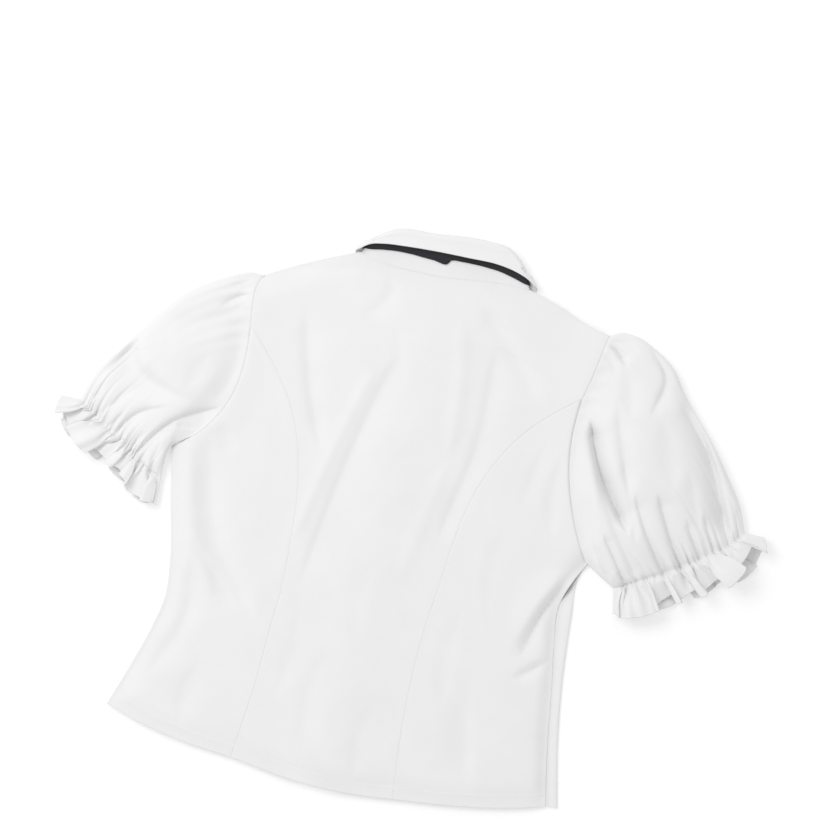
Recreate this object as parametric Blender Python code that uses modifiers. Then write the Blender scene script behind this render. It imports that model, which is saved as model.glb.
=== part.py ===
"""A short-sleeved ruffle blouse laid flat on its front, with its back up.

+X runs to the right of the back, +Y to the collar and +Z up from the surface.
Sizes are in millimetres in the tables, and the meshes are in metres.
"""

import bpy
import numpy as np

MM = 0.001

# The point of the drawing below that becomes the origin: the middle of the outline.
CENTRE_X = 18.8
CENTRE_Y = -255.0

WALL = 1.1
SEAM_GAP = 0.4
ARMHOLE_GAP = 0.75
FRONT_NECK_GAP = 1.2
TURNED_GAP = 0.8
LAYER_GAP = 0.3
LOWEST_BACK = 2 * WALL + LAYER_GAP + 0.1

# The back stands this high over the surface, less at its edges.
BACK_HEIGHT = 5.3
EDGE_DROP = 2.8
EDGE_REACH = 12.0
ARMHOLE_RISE = 2.6
ARMHOLE_REACH = 22.0
BAND_RISE = 2.8
BAND_REACH = 34.0
BAND_TOP_Y = -30.0
BAND_TOP_REACH = 55.0
NECK_RISE_START = 12.0
NECK_RISE_REACH = 48.0
NECK_ROOM = 0.65

BUTTON_DIAMETER = 11.0
BUTTON_THICKNESS = 2.6
BUTTON_COUNT = 6
BUTTON_SIDES = 16
BUTTON_FIRST_Y = -112.0
BUTTON_PITCH = 70.0
BAND_HALF_WIDTH = 13.0
BAND_HEIGHT = BUTTON_THICKNESS + LAYER_GAP
NECK_LIFT = BAND_HEIGHT
NECK_LIFT_REACH = 40.0

CUFF_GATHERS = 16
CAP_GATHERS = 9
RUFFLE_WAVES = 8
RUFFLE_LOBE = 3.5
RUFFLE_START_PHASE = 0.6
SLEEVE_TOP_POINTS = 56
SLEEVE_UNDER_POINTS = 40
FOLD_RADIUS = 8.0
UNDER_WAVE_SHARE = 0.35
CAP_GATHER_END = 0.62
CAP_GATHER_SHARE = 0.6
UNDERARM_LEFT_Y = -231.5

# The right front turns up round the side with a radius between these two.
TURN_RADIUS = 2.4
LEAST_TURN_RADIUS = 1.1
TURN_SHARE = 0.6
TURN_ANGLES = (-60, -25, 10, 45, 80)

# Shares of the way down a panel's edge at which it passes from armhole to side or seam.
FRONT_SPLIT = 0.42
BACK_SPLIT = 0.10

# The centre back's top edge is neckline for this share of its width, and shoulder beyond.
NECK_SHARE = 0.47

# The fronts' top edges, which turn from shoulder to neckline at these shares.
LEFT_NECK_START = 0.42
RIGHT_NECK_END = 0.58
LEFT_INNER_X = -30.0
RIGHT_INNER_X = 28.0
LEFT_OUTER_X = -222.0
RIGHT_OUTER_X = 237.6
FLAP_COLUMNS = (-17.0, -3.5, 10.0)
LEFT_COLUMNS = (0.0, 0.14, 0.28, 0.42, 0.51, 0.6, 0.7, 0.8, 0.9, 1.0)
RIGHT_COLUMNS = (0.0, 0.09, 0.18, 0.28, 0.38, 0.48, 0.58, 0.72, 0.86, 1.0)
ARMHOLE_COLUMNS = RIGHT_COLUMNS[:-1] + (0.90, 0.93, 0.95, 0.97, 0.98, 0.99, 1.0)

# The right side back's corner at the underarm stays clear of the turned front by this much.
UNDERARM_SHIFT = (3.4, 0.8)

# Collar: the roll's height at the back, and how fast the ring rounds at its sides.
ROLL_HEIGHT = 9.5
BACK_ROUNDING = 22
FRONT_ROUNDING = 30
FRONT_RIBBON_LOWER = 0.66
LEAF_START_BEYOND = 1.8
LEAF_START_OFF = 0.4
LEAF_SIDE_ROOM = 0.45

# Rows of the front panels below the underarm, as shares of the way down to the hem.
SIDE_ROWS = (0.0, 0.06, 0.12, 0.25, 0.4, 0.55, 0.7, 0.85, 1.0)

# Outlines of the body, seen from above: x, y.
SHOULDER_LEFT = ((-84.0, -10.5), (-116.5, -25.5), (-142.0, -38.7), (-173.6, -57.2))
SHOULDER_RIGHT = (
    (88.0, -7.0),
    (112.0, -13.0),
    (130.0, -19.0),
    (148.6, -25.6),
    (166.0, -30.3),
    (176.5, -32.5),
)
ARMHOLE_LEFT_UPPER = ((-173.6, -57.2), (-177.5, -71.0), (-176.5, -88.0), (-173.8, -108.0))
ARMHOLE_LEFT_LOWER = (
    (-173.8, -108.0),
    (-171.0, -139.0),
    (-172.0, -165.0),
    (-177.0, -187.0),
    (-187.5, -209.0),
    (-205.0, -231.0),
    (-221.4, -245.0),
)
ARMHOLE_RIGHT_UPPER = ((176.5, -32.5), (173.0, -53.0), (169.0, -80.0), (164.8, -100.0))
ARMHOLE_RIGHT_LOWER = (
    (164.8, -100.0),
    (164.2, -134.0),
    (169.5, -173.0),
    (181.0, -207.0),
    (192.0, -231.0),
    (201.0, -247.0),
    (210.8, -258.7),
)
PRINCESS_LEFT = (
    (-173.8, -108.0),
    (-142.0, -141.0),
    (-116.0, -176.0),
    (-100.0, -211.0),
    (-89.0, -254.0),
    (-83.0, -309.0),
    (-80.5, -354.0),
    (-82.0, -400.0),
    (-83.0, -453.0),
    (-89.0, -532.0),
)
PRINCESS_RIGHT = (
    (164.8, -100.0),
    (137.0, -125.0),
    (119.0, -145.0),
    (95.5, -185.0),
    (82.0, -223.0),
    (75.5, -264.0),
    (71.6, -316.0),
    (67.6, -368.0),
    (67.5, -418.0),
    (71.0, -475.0),
    (78.0, -534.0),
)
SIDE_LEFT = (
    (-221.4, -245.0),
    (-209.5, -297.0),
    (-195.5, -355.0),
    (-191.6, -393.0),
    (-197.0, -425.0),
    (-207.0, -462.0),
    (-222.0, -510.0),
)
SIDE_RIGHT = (
    (210.8, -258.7),
    (205.4, -275.0),
    (207.6, -314.0),
    (211.0, -350.0),
    (215.0, -383.0),
    (225.0, -440.0),
    (240.0, -503.0),
)
SIDE_SEAM_RIGHT = (
    (207.6, -259.8),
    (200.9, -278.0),
    (192.6, -307.0),
    (197.5, -346.0),
    (204.8, -384.0),
    (214.5, -440.0),
    (228.0, -504.5),
)
HEM_LEFT = ((-222.0, -510.0), (-178.0, -522.0), (-132.0, -529.0), (-89.0, -532.0))
HEM_CENTRE = ((-89.0, -532.0), (-40.0, -538.0), (8.0, -540.0), (45.0, -538.0), (78.0, -534.0))
HEM_RIGHT = ((78.0, -534.0), (130.0, -527.0), (182.0, -517.0), (228.0, -504.5))

# Necklines and collar, seen from above, each from the left to the right: x, y.
NECK_BACK = (
    (-84.0, -10.5),
    (-66.0, -15.5),
    (-41.0, -17.4),
    (-17.5, -16.9),
    (10.6, -14.9),
    (36.0, -11.0),
    (58.0, -8.2),
    (88.0, -7.0),
)
NECK_FRONT = (
    (-84.0, -10.5),
    (-82.0, -36.0),
    (-66.0, -63.0),
    (-38.0, -84.0),
    (0.0, -92.0),
    (42.0, -82.0),
    (70.0, -59.0),
    (85.0, -33.0),
    (88.0, -7.0),
)
ROLL_BACK = (
    (-79.5, 0.5),
    (-72.0, 6.5),
    (-56.0, 17.2),
    (-15.0, 22.8),
    (36.0, 28.2),
    (58.0, 26.4),
    (70.0, 18.6),
    (81.0, 6.5),
)
ROLL_FRONT = (
    (-79.5, 0.5),
    (-76.0, -22.0),
    (-60.0, -45.0),
    (-35.0, -62.0),
    (0.0, -69.0),
    (38.0, -60.0),
    (63.0, -41.0),
    (78.0, -17.0),
    (81.0, 6.5),
)
LEAF_EDGE_BACK = (
    (-90.6, -10.2),
    (-78.0, -0.9),
    (-65.0, 2.4),
    (-42.0, 5.2),
    (-11.0, 7.6),
    (20.5, 8.9),
    (52.0, 9.6),
    (71.5, 6.6),
    (85.0, 2.2),
    (95.4, -4.2),
)
LEAF_EDGE_FRONT = (
    (-90.6, -10.2),
    (-88.0, -38.0),
    (-70.0, -68.0),
    (-40.0, -91.0),
    (0.0, -99.0),
    (44.0, -89.0),
    (74.0, -64.0),
    (91.0, -34.0),
    (95.4, -4.2),
)

# Soft troughs of the back: three points of the trough's line, its half width and depth.
# A ridge has a negative depth.
BACK_FOLDS = (
    # x0, y0, x1, y1, x2, y2, width, depth
    (-128.0, -83.0, -108.0, -145.0, -82.0, -207.0, 8.0, 1.6),
    (-30.0, -118.0, -46.0, -190.0, -63.0, -312.0, 9.0, 1.5),
    (-33.0, -69.0, -22.0, -102.0, -10.5, -136.0, 6.0, 0.4),
    (-54.0, -20.0, -46.0, -43.0, -70.0, -78.0, 8.0, 1.1),
    (40.0, -26.0, 68.0, -52.0, 131.0, -121.0, 9.0, 1.8),
    (72.0, -89.0, 82.0, -175.0, 69.0, -253.0, 9.0, 1.6),
    (26.0, -43.0, 40.0, -105.0, 52.0, -168.0, 9.0, -0.9),
    (-183.0, -229.0, -155.0, -325.0, -104.0, -388.0, 14.0, 2.0),
    (-186.0, -326.0, -146.0, -362.0, -119.0, -388.0, 8.0, 1.5),
    (-176.0, -351.0, -166.0, -400.0, -192.0, -468.0, 9.0, 1.6),
    (204.0, -269.0, 176.0, -313.0, 166.0, -355.0, 8.0, 2.0),
    (191.0, -364.0, 178.0, -376.0, 166.0, -386.0, 7.0, 1.5),
    (-20.0, -395.0, -28.0, -450.0, -20.0, -520.0, 12.0, 0.9),
    (122.0, -400.0, 132.0, -452.0, 150.0, -515.0, 12.0, 1.4),
)

# Sleeves, seen from above, from the shoulder to the underarm or from the armhole to the elastic.
OVER_ARM_LEFT = (
    (-174.2, -56.6),
    (-185.0, -56.2),
    (-196.5, -60.0),
    (-211.0, -68.0),
    (-229.5, -80.0),
    (-247.0, -95.0),
    (-262.0, -114.0),
    (-279.0, -139.0),
    (-296.0, -165.0),
    (-307.0, -181.0),
    (-316.0, -203.0),
    (-320.5, -221.5),
)
UNDER_ARM_LEFT = (
    (-205.6, -230.5),
    (-214.6, -238.2),
    (-222.8, -244.4),
    (-225.0, -250.0),
    (-225.4, -263.0),
    (-224.0, -279.0),
)
ELASTIC_LEFT = (
    (-320.5, -221.5),
    (-302.0, -234.0),
    (-278.0, -247.5),
    (-262.0, -257.5),
    (-245.0, -270.0),
    (-224.0, -279.0),
)
RUFFLE_EDGE_LEFT = (
    (-340.5, -222.0),
    (-338.0, -241.0),
    (-318.0, -258.0),
    (-293.0, -271.5),
    (-267.0, -284.0),
    (-245.0, -300.0),
    (-222.0, -306.0),
)
OVER_ARM_RIGHT = (
    (177.2, -31.8),
    (189.6, -25.6),
    (204.0, -25.8),
    (225.0, -34.0),
    (247.0, -48.0),
    (263.0, -69.0),
    (282.0, -90.0),
    (304.6, -114.0),
    (326.0, -141.0),
    (345.0, -168.0),
    (355.0, -191.0),
)
UNDER_ARM_RIGHT = ((211.6, -259.1), (226.0, -268.0), (241.0, -276.0))
ELASTIC_RIGHT = (
    (355.0, -191.0),
    (341.0, -208.0),
    (318.0, -226.0),
    (290.0, -246.0),
    (264.0, -262.0),
    (241.0, -276.0),
)
RUFFLE_EDGE_RIGHT = (
    (375.0, -190.0),
    (378.0, -214.0),
    (356.0, -238.0),
    (326.0, -259.0),
    (300.0, -277.0),
    (272.0, -290.0),
    (246.0, -301.0),
)

# A row for each section of a sleeve, from the armhole to the ruffle's edge.
SLEEVE_SECTIONS = (
    # along, ruffle, crown, fold, cap gather, cuff gather, ruffle wave
    (0.00, 0.00, 8.0, 2.7, 0.0, 0.0, 0.0),
    (0.06, 0.00, 17.0, 4.0, 1.3, 0.0, 0.0),
    (0.17, 0.00, 26.0, 5.0, 1.5, 0.0, 0.0),
    (0.35, 0.00, 34.0, 6.0, 0.6, 0.0, 0.0),
    (0.57, 0.00, 35.0, 6.5, 0.0, 0.3, 0.0),
    (0.77, 0.00, 30.0, 6.5, 0.0, 0.9, 0.0),
    (0.90, 0.00, 23.0, 6.5, 0.0, 1.5, 0.0),
    (1.00, 0.00, 18.5, 6.5, 0.0, 1.9, 0.0),
    (1.00, 0.33, 18.5, 6.5, 0.0, 1.5, 1.5),
    (1.00, 0.67, 19.0, 7.0, 0.0, 1.1, 3.0),
    (1.00, 1.00, 19.5, 7.0, 0.0, 0.9, 4.2),
)
SLEEVE_FOLDS_LEFT = (
    # x0, y0, x1, y1, x2, y2, width, depth
    (-181.0, -79.0, -194.0, -86.0, -212.0, -102.0, 5.0, 2.2),
    (-280.0, -156.0, -262.0, -168.0, -228.0, -184.0, 20.0, 5.0),
    (-303.0, -230.0, -282.0, -212.0, -266.0, -196.0, 5.0, 2.4),
    (-272.0, -236.0, -250.0, -217.0, -230.0, -206.0, 6.0, 2.6),
    (-248.0, -246.0, -226.0, -224.0, -196.0, -204.0, 6.0, 3.2),
    (-205.0, -140.0, -214.0, -165.0, -222.0, -192.0, 9.0, 2.0),
)
SLEEVE_FOLDS_RIGHT = (
    (182.0, -50.0, 193.0, -54.0, 206.0, -66.0, 5.0, 2.2),
    (221.0, -46.0, 239.0, -70.0, 238.0, -104.0, 8.0, 2.2),
    (184.0, -128.0, 198.0, -160.0, 234.0, -201.0, 7.0, 4.5),
    (279.0, -95.0, 302.0, -132.0, 331.0, -188.0, 8.0, 4.0),
    (246.0, -194.0, 260.0, -216.0, 273.0, -238.0, 5.0, 2.2),
    (268.0, -188.0, 282.0, -210.0, 296.0, -232.0, 5.0, 2.4),
    (222.0, -232.0, 240.0, -250.0, 254.0, -266.0, 5.0, 2.2),
)

# The leaf's section at the back: how far along from roll (0) to edge (1), and how far off.
LEAF_SECTION = (
    # along, off at the back, off at the front
    (0.00, 2.3, 2.2),
    (0.12, 3.1, NECK_LIFT),
    (0.40, 3.6, NECK_LIFT),
    (0.70, 5.0, NECK_LIFT),
    (1.00, 7.2, NECK_LIFT),
)

# The ribbon's lower edge at the back as a share of the way from roll to neck seam.
RIBBON_UPPER = 0.27
RIBBON_LOWER = (
    # share of the way from left to right, lower edge
    (0.00, 0.62),
    (0.10, 0.56),
    (0.30, 0.57),
    (0.42, 0.61),
    (0.475, 0.67),
    (0.500, 0.67),
    (0.515, 0.56),
    (0.54, 0.545),
    (0.70, 0.60),
    (0.85, 0.68),
    (1.00, 0.72),
)

WHITE = (0.86, 0.86, 0.87, 1.0)
BLACK = (0.012, 0.012, 0.015, 1.0)
PEARL = (0.78, 0.77, 0.74, 1.0)


def line(rows, at):
    """Points at the shares `at` of the way along a smooth line through the rows."""
    points = np.array(rows, float)
    at = np.asarray(at, float)
    knots = np.concatenate([[0.0], np.cumsum(np.linalg.norm(np.diff(points, axis=0), axis=1))])
    knots /= knots[-1]
    slopes = np.gradient(points, knots, axis=0)
    index = np.clip(np.searchsorted(knots, at, side="right") - 1, 0, len(knots) - 2)
    span = (knots[index + 1] - knots[index])[:, None]
    t = (at - knots[index])[:, None] / span
    start = (2 * t**3 - 3 * t**2 + 1) * points[index] + (t**3 - 2 * t**2 + t) * span * slopes[index]
    end = (3 * t**2 - 2 * t**3) * points[index + 1] + (t**3 - t**2) * span * slopes[index + 1]
    return start + end


def chain(first, second, split, at):
    """Two lines end to end, the first one up to the share `split`."""
    at = np.asarray(at, float)
    early = line(first, np.clip(at / split, 0, 1))
    late = line(second, np.clip((at - split) / (1 - split), 0, 1))
    return np.where((at <= split)[:, None], early, late)


def moved(points, distance):
    """The points moved to the left of their line's own direction."""
    along = np.gradient(points, axis=0)
    along /= np.linalg.norm(along, axis=1, keepdims=True)
    return points + distance * np.stack([-along[:, 1], along[:, 0]], axis=1)


def patch(top, bottom, left, right, p, q):
    """The surface between four lines: p runs from left to right, q from top to bottom."""
    p = np.asarray(p, float)[None, :, None]
    q = np.asarray(q, float)[:, None, None]
    between = (1 - q) * top[None] + q * bottom[None]
    across = (1 - p) * left[:, None] + p * right[:, None]
    corners = (1 - q) * ((1 - p) * top[0] + p * top[-1]) + q * ((1 - p) * bottom[0] + p * bottom[-1])
    return between + across - corners


def smooth(value):
    value = np.clip(value, 0.0, 1.0)
    return value * value * (3 - 2 * value)


def distance(x, y, points):
    """Distance from each x, y to a line of points."""
    nearest = np.full(np.shape(x), 1e9)
    for start, end in zip(points[:-1], points[1:]):
        run = end - start
        share = ((x - start[0]) * run[0] + (y - start[1]) * run[1]) / (run @ run)
        share = np.clip(share, 0, 1)
        away = np.hypot(x - start[0] - share * run[0], y - start[1] - share * run[1])
        nearest = np.minimum(nearest, away)
    return nearest


def folds(x, y, rows):
    """Depth of the soft troughs at x, y."""
    total = np.zeros(np.shape(x))
    for x0, y0, x1, y1, x2, y2, width, depth in rows:
        points = line(((x0, y0), (x1, y1), (x2, y2)), np.linspace(0, 1, 9))
        total += depth * np.exp(-((distance(x, y, points) / width) ** 2))
    return total


STEPS = np.linspace(0, 1, 33)
LOW_EDGES = [line(rows, STEPS) for rows in (SHOULDER_LEFT, SHOULDER_RIGHT, SIDE_LEFT, SIDE_RIGHT)]
ARMHOLE_LEFT = np.concatenate([line(ARMHOLE_LEFT_UPPER, STEPS)[:-1], line(ARMHOLE_LEFT_LOWER, STEPS)])
ARMHOLE_RIGHT = np.concatenate(
    [line(ARMHOLE_RIGHT_UPPER, STEPS)[:-1], line(ARMHOLE_RIGHT_LOWER, STEPS)]
)
ARMHOLES = (ARMHOLE_LEFT, ARMHOLE_RIGHT)
NECK_LINE = line(NECK_FRONT, STEPS)
HEM_LINE = np.concatenate([line(rows, STEPS) for rows in (HEM_LEFT, HEM_CENTRE, HEM_RIGHT)])


def back_height(x, y):
    """Height of the back's outer face."""
    edge = np.min([distance(x, y, points) for points in LOW_EDGES], axis=0)
    armhole = np.min([distance(x, y, points) for points in ARMHOLES], axis=0)
    height = BACK_HEIGHT - EDGE_DROP * np.exp(-edge / EDGE_REACH)
    height = height + ARMHOLE_RISE * np.exp(-((armhole / ARMHOLE_REACH) ** 2))
    below_neck = smooth((BAND_TOP_Y - y) / BAND_TOP_REACH)
    height = height + BAND_RISE * np.exp(-((x / BAND_REACH) ** 2)) * below_neck
    height = height - folds(x, y, BACK_FOLDS)
    neck = smooth((distance(x, y, NECK_LINE) - NECK_RISE_START) / NECK_RISE_REACH)
    return np.maximum(height, LOWEST_BACK + NECK_ROOM + NECK_LIFT * (1 - neck))


def neck_floor(x, y):
    """How far the collar's leaf lifts the front's outer face."""
    return NECK_LIFT * (1 - smooth(distance(x, y, NECK_LINE) / NECK_LIFT_REACH))


def material(name, colour, roughness):
    made = bpy.data.materials.new(name)
    made.use_nodes = True
    shader = made.node_tree.nodes["Principled BSDF"]
    shader.inputs["Base Color"].default_value = colour
    shader.inputs["Roughness"].default_value = roughness
    shader.inputs["Metallic"].default_value = 0.0
    return made


def wall(name, points, look, outward=1, closed=False):
    """A cloth wall on a grid of points of its outer face, in rows."""
    rows, columns = points.shape[:2]
    number = np.arange(rows * columns).reshape(rows, columns)
    if closed:
        number = np.concatenate([number, number[:, :1]], axis=1)
    corners = np.stack([number[:-1, :-1], number[1:, :-1], number[1:, 1:], number[:-1, 1:]], axis=-1)
    faces = corners.reshape(-1, 4)[:, ::outward]
    placed = (points - [CENTRE_X, CENTRE_Y, 0.0]) * MM
    mesh = bpy.data.meshes.new(name)
    mesh.from_pydata(placed.reshape(-1, 3).tolist(), [], faces.tolist())
    mesh.materials.append(look)
    mesh.shade_smooth()
    made = bpy.data.objects.new(name, mesh)
    BLOUSE.objects.link(made)
    thickness = made.modifiers.new("Wall", "SOLIDIFY")
    thickness.thickness = WALL * MM
    thickness.offset = -1.0
    return made


def with_height(plan, height):
    return np.concatenate([plan, np.asarray(height)[..., None]], axis=-1)


def body_panels(cloth):
    """The back's three panels, on the same rows along the princess seams."""
    half = SEAM_GAP / 2
    rows = np.linspace(0, 1, 17) ** 0.9
    upper = np.linspace(0, BACK_SPLIT, 4)[:-1]
    tall = np.concatenate([upper, BACK_SPLIT + (1 - BACK_SPLIT) * rows])
    p = np.linspace(0, 1, 21)
    left = moved(chain(ARMHOLE_LEFT_UPPER, PRINCESS_LEFT, BACK_SPLIT, tall), half)
    right = moved(chain(ARMHOLE_RIGHT_UPPER, PRINCESS_RIGHT, BACK_SPLIT, tall), -half)
    along = np.abs(p - 0.5) * 2
    top = np.zeros((len(p), 2))
    in_neck = along <= NECK_SHARE
    top[in_neck] = moved(line(NECK_BACK, 0.5 + (p[in_neck] - 0.5) / NECK_SHARE), -half)
    outer = (along - NECK_SHARE) / (1 - NECK_SHARE)
    is_left = ~in_neck & (p < 0.5)
    is_right = ~in_neck & (p > 0.5)
    top[is_left] = line(SHOULDER_LEFT, outer[is_left])
    top[is_right] = line(SHOULDER_RIGHT, outer[is_right])
    bottom = line(HEM_CENTRE, p)
    plan = patch(top, bottom, left, right, p, tall)
    wall("back_centre", with_height(plan, back_height(plan[..., 0], plan[..., 1])), cloth)

    q = np.linspace(0, 1, 12)
    top = line(ARMHOLE_LEFT_LOWER, 1 - q)
    left = line(SIDE_LEFT, rows)
    right = moved(line(PRINCESS_LEFT, rows), -half)
    plan = patch(top, line(HEM_LEFT, q), left, right, q, rows)
    wall("back_side_left", with_height(plan, back_height(plan[..., 0], plan[..., 1])), cloth)

    top = line(ARMHOLE_RIGHT_LOWER, q)
    top = top - UNDERARM_SHIFT * smooth(q[:, None] * 4 - 3)
    left = moved(line(PRINCESS_RIGHT, rows), half)
    right = moved(line(SIDE_SEAM_RIGHT, rows), -half)
    plan = patch(top, line(HEM_RIGHT, q), left, right, q, rows)
    wall("back_side_right", with_height(plan, back_height(plan[..., 0], plan[..., 1])), cloth)


def neck_y(x):
    """The front neckline's y at x, near the middle of the front."""
    low = NECK_LINE[NECK_LINE[:, 1] < -50]
    return np.interp(x, low[:, 0], low[:, 1])


def hem_y(x):
    return np.interp(x, HEM_LINE[:, 0], HEM_LINE[:, 1])


def column(x, q):
    """A front panel's line of points down from the neckline to the hem."""
    top = neck_y(x) - FRONT_NECK_GAP
    return np.stack([np.full(len(q), x), top + q * (hem_y(x) - top)], axis=1)


def hem_between(x0, x1, p):
    x = x0 + (x1 - x0) * p
    return np.stack([x, hem_y(x)], axis=1)


def front_panels(cloth):
    """The hidden fronts and the button band that joins them."""
    below = FRONT_SPLIT + (1 - FRONT_SPLIT) * np.array(SIDE_ROWS)
    q = np.concatenate([np.linspace(0, FRONT_SPLIT, 14)[:-1], below])
    at_side = q > FRONT_SPLIT

    # The left front reaches over the band, so its inner edge is past the middle.
    p = np.array(LEFT_COLUMNS)
    neck = NECK_LINE[NECK_LINE[:, 0] < LEFT_INNER_X - 2]
    neck = np.concatenate([neck, [[LEFT_INNER_X, neck_y(LEFT_INNER_X)]]])
    top = moved(chain(SHOULDER_LEFT[::-1], neck, LEFT_NECK_START, p), -FRONT_NECK_GAP)
    left = moved(chain(ARMHOLE_LEFT, SIDE_LEFT, FRONT_SPLIT, q), SEAM_GAP)
    hem = hem_between(LEFT_OUTER_X, LEFT_INNER_X, p)
    plan = patch(top, hem, left, column(LEFT_INNER_X, q), p, q)
    flap = [column(x, q)[:, None] for x in FLAP_COLUMNS]
    plan = np.concatenate([plan] + flap, axis=1)
    x = plan[..., 0]
    y = plan[..., 1]
    over_band = BAND_HEIGHT + WALL + LAYER_GAP
    height = np.where(x < FLAP_COLUMNS[0], neck_floor(x, y), over_band)
    wall("front_left", with_height(plan, height), cloth, outward=-1)

    # The right front starts at the band and turns up round the side to the side seam.
    start = BAND_HALF_WIDTH + SEAM_GAP
    neck = NECK_LINE[NECK_LINE[:, 0] > RIGHT_INNER_X + 2]
    neck = np.concatenate([[[RIGHT_INNER_X, neck_y(RIGHT_INNER_X)]], neck])
    side = chain(ARMHOLE_RIGHT, SIDE_RIGHT, FRONT_SPLIT, q)
    seam = line(SIDE_SEAM_RIGHT, STEPS)
    seam_x = np.interp(-side[:, 1], -seam[:, 1], seam[:, 0])
    radius = TURN_SHARE * (side[:, 0] - seam_x - TURNED_GAP)
    radius = np.clip(radius, LEAST_TURN_RADIUS, TURN_RADIUS)
    right = moved(side, -SEAM_GAP)
    right[at_side] = side[at_side]
    right[at_side, 0] -= radius[at_side]
    plans = []
    for p in (np.array(RIGHT_COLUMNS), np.array(ARMHOLE_COLUMNS)):
        top = moved(chain(neck, SHOULDER_RIGHT, RIGHT_NECK_END, p), -FRONT_NECK_GAP)
        hem = hem_between(RIGHT_INNER_X, RIGHT_OUTER_X, p)
        plans.append(patch(top, hem, column(RIGHT_INNER_X, q), right, p, q))
    flat, armhole = plans
    seam_height = back_height(seam_x, side[:, 1])
    panel = with_height(flat, neck_floor(flat[..., 0], flat[..., 1]))
    turn = []
    for angle in TURN_ANGLES:
        a = np.radians(angle)
        turn_x = side[:, 0] - radius * (1 - np.cos(a))
        turn.append(np.stack([turn_x, side[:, 1], seam_height / 2 * (1 + np.sin(a))], axis=1))
    turn.append(np.stack([seam_x + TURNED_GAP, side[:, 1], seam_height], axis=1))
    panel = np.concatenate([panel, np.stack(turn, axis=1)], axis=1)
    panel[~at_side] = with_height(armhole, neck_floor(armhole[..., 0], armhole[..., 1]))[~at_side]
    inner = column(start, q)
    inner = with_height(inner, np.full(len(q), BAND_HEIGHT))
    wall("front_right", np.concatenate([inner[:, None], panel], axis=1), cloth, outward=-1)

    q = np.linspace(0, 1, 9)
    x = np.linspace(-BAND_HALF_WIDTH, BAND_HALF_WIDTH, 4)
    plan = np.stack([column(each, q) for each in x], axis=1)
    wall("front_placket", with_height(plan, np.full((len(q), len(x)), BAND_HEIGHT)), cloth, outward=-1)


def buttons(look):
    for number in range(BUTTON_COUNT):
        y = BUTTON_FIRST_Y - number * BUTTON_PITCH
        bpy.ops.mesh.primitive_cylinder_add(
            vertices=BUTTON_SIDES,
            radius=BUTTON_DIAMETER / 2 * MM,
            depth=BUTTON_THICKNESS * MM,
            location=(-CENTRE_X * MM, (y - CENTRE_Y) * MM, BUTTON_THICKNESS / 2 * MM),
        )
        made = bpy.context.object
        made.name = f"button_{number + 1}"
        made.data.materials.append(look)
        for holder in made.users_collection:
            holder.objects.unlink(made)
        BLOUSE.objects.link(made)


def sleeve(name, over_arm, under_arm, armhole, elastic, ruffle_edge, rows, side, cloth):
    """One puff sleeve as a flattened tube, with its ruffle past the elastic."""
    top = np.arange(SLEEVE_TOP_POINTS) / SLEEVE_TOP_POINTS
    under = 1 - np.arange(SLEEVE_UNDER_POINTS) / SLEEVE_UNDER_POINTS
    turn = np.concatenate([top, under])
    is_top = np.concatenate([np.ones(len(top), bool), np.zeros(len(under), bool)])
    s = (1 - np.cos(np.pi * turn)) / 2
    number = np.arange(len(turn)) / len(turn)
    phase = 2 * np.pi * number + 0.05 * np.sin(6 * np.pi * number)
    order = np.argsort(s, kind="stable")
    back = np.argsort(order, kind="stable")
    spread = s[order]

    def across(curve):
        return line(curve, spread)[back]

    seam = across(armhole)
    cuff = across(elastic)
    edge = across(ruffle_edge)
    grid = []
    for along, ruffle, crown, fold, cap, gather, wave in SLEEVE_SECTIONS:
        v = np.array([along])
        outer = line(over_arm, v)[0]
        inner = line(under_arm, v)[0]
        s2 = s[:, None]
        plan = (1 - along) * seam + along * cuff + (1 - s2) * outer + s2 * inner
        plan = plan - (1 - along) * ((1 - s2) * over_arm[0] + s2 * np.array(under_arm[0]))
        plan = plan - along * ((1 - s2) * over_arm[-1] + s2 * np.array(under_arm[-1]))
        reach = edge - cuff
        length = np.linalg.norm(reach, axis=1, keepdims=True)
        lobe = RUFFLE_LOBE * np.cos(RUFFLE_WAVES * phase + RUFFLE_START_PHASE)[:, None]
        plan = plan + ruffle * (reach + lobe * reach / length)
        width = np.linalg.norm(outer - inner)
        near = np.minimum(s, 1 - s) * width / FOLD_RADIUS
        dome = (4 * s * (1 - s)) ** 0.5
        fillet = np.sqrt(np.clip(1 - (1 - np.clip(near, 0, 1)) ** 2, 0, 1))
        upper = fold + (crown - fold) * dome
        if along == 0:
            upper = np.maximum(back_height(plan[:, 0], plan[:, 1]), 2 * fold)
            upper = fold + (upper - fold) * fillet
        away = np.clip(near, 0, 1)
        upper = upper - folds(plan[:, 0], plan[:, 1], rows) * away * smooth(along * 8)
        cap_turn = 2 * np.pi * CAP_GATHERS * s / CAP_GATHER_SHARE
        cap_wave = cap * np.cos(cap_turn) * smooth((CAP_GATHER_END - s) * 4)
        cuff_wave = gather * np.cos(CUFF_GATHERS * phase)
        big_wave = wave * np.cos(RUFFLE_WAVES * phase + RUFFLE_START_PHASE)
        upper = upper + (cap_wave + cuff_wave + big_wave) * away
        lower = fold * (1 - fillet) + away * (gather * (1 + np.cos(CUFF_GATHERS * phase)))
        under_wave = UNDER_WAVE_SHARE * wave * (1 + np.cos(RUFFLE_WAVES * phase + RUFFLE_START_PHASE))
        lower = lower + away * under_wave
        height = np.where(is_top, upper, lower)
        grid.append(with_height(plan, height))
    wall(name, np.stack(grid), cloth, outward=side, closed=True)


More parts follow.
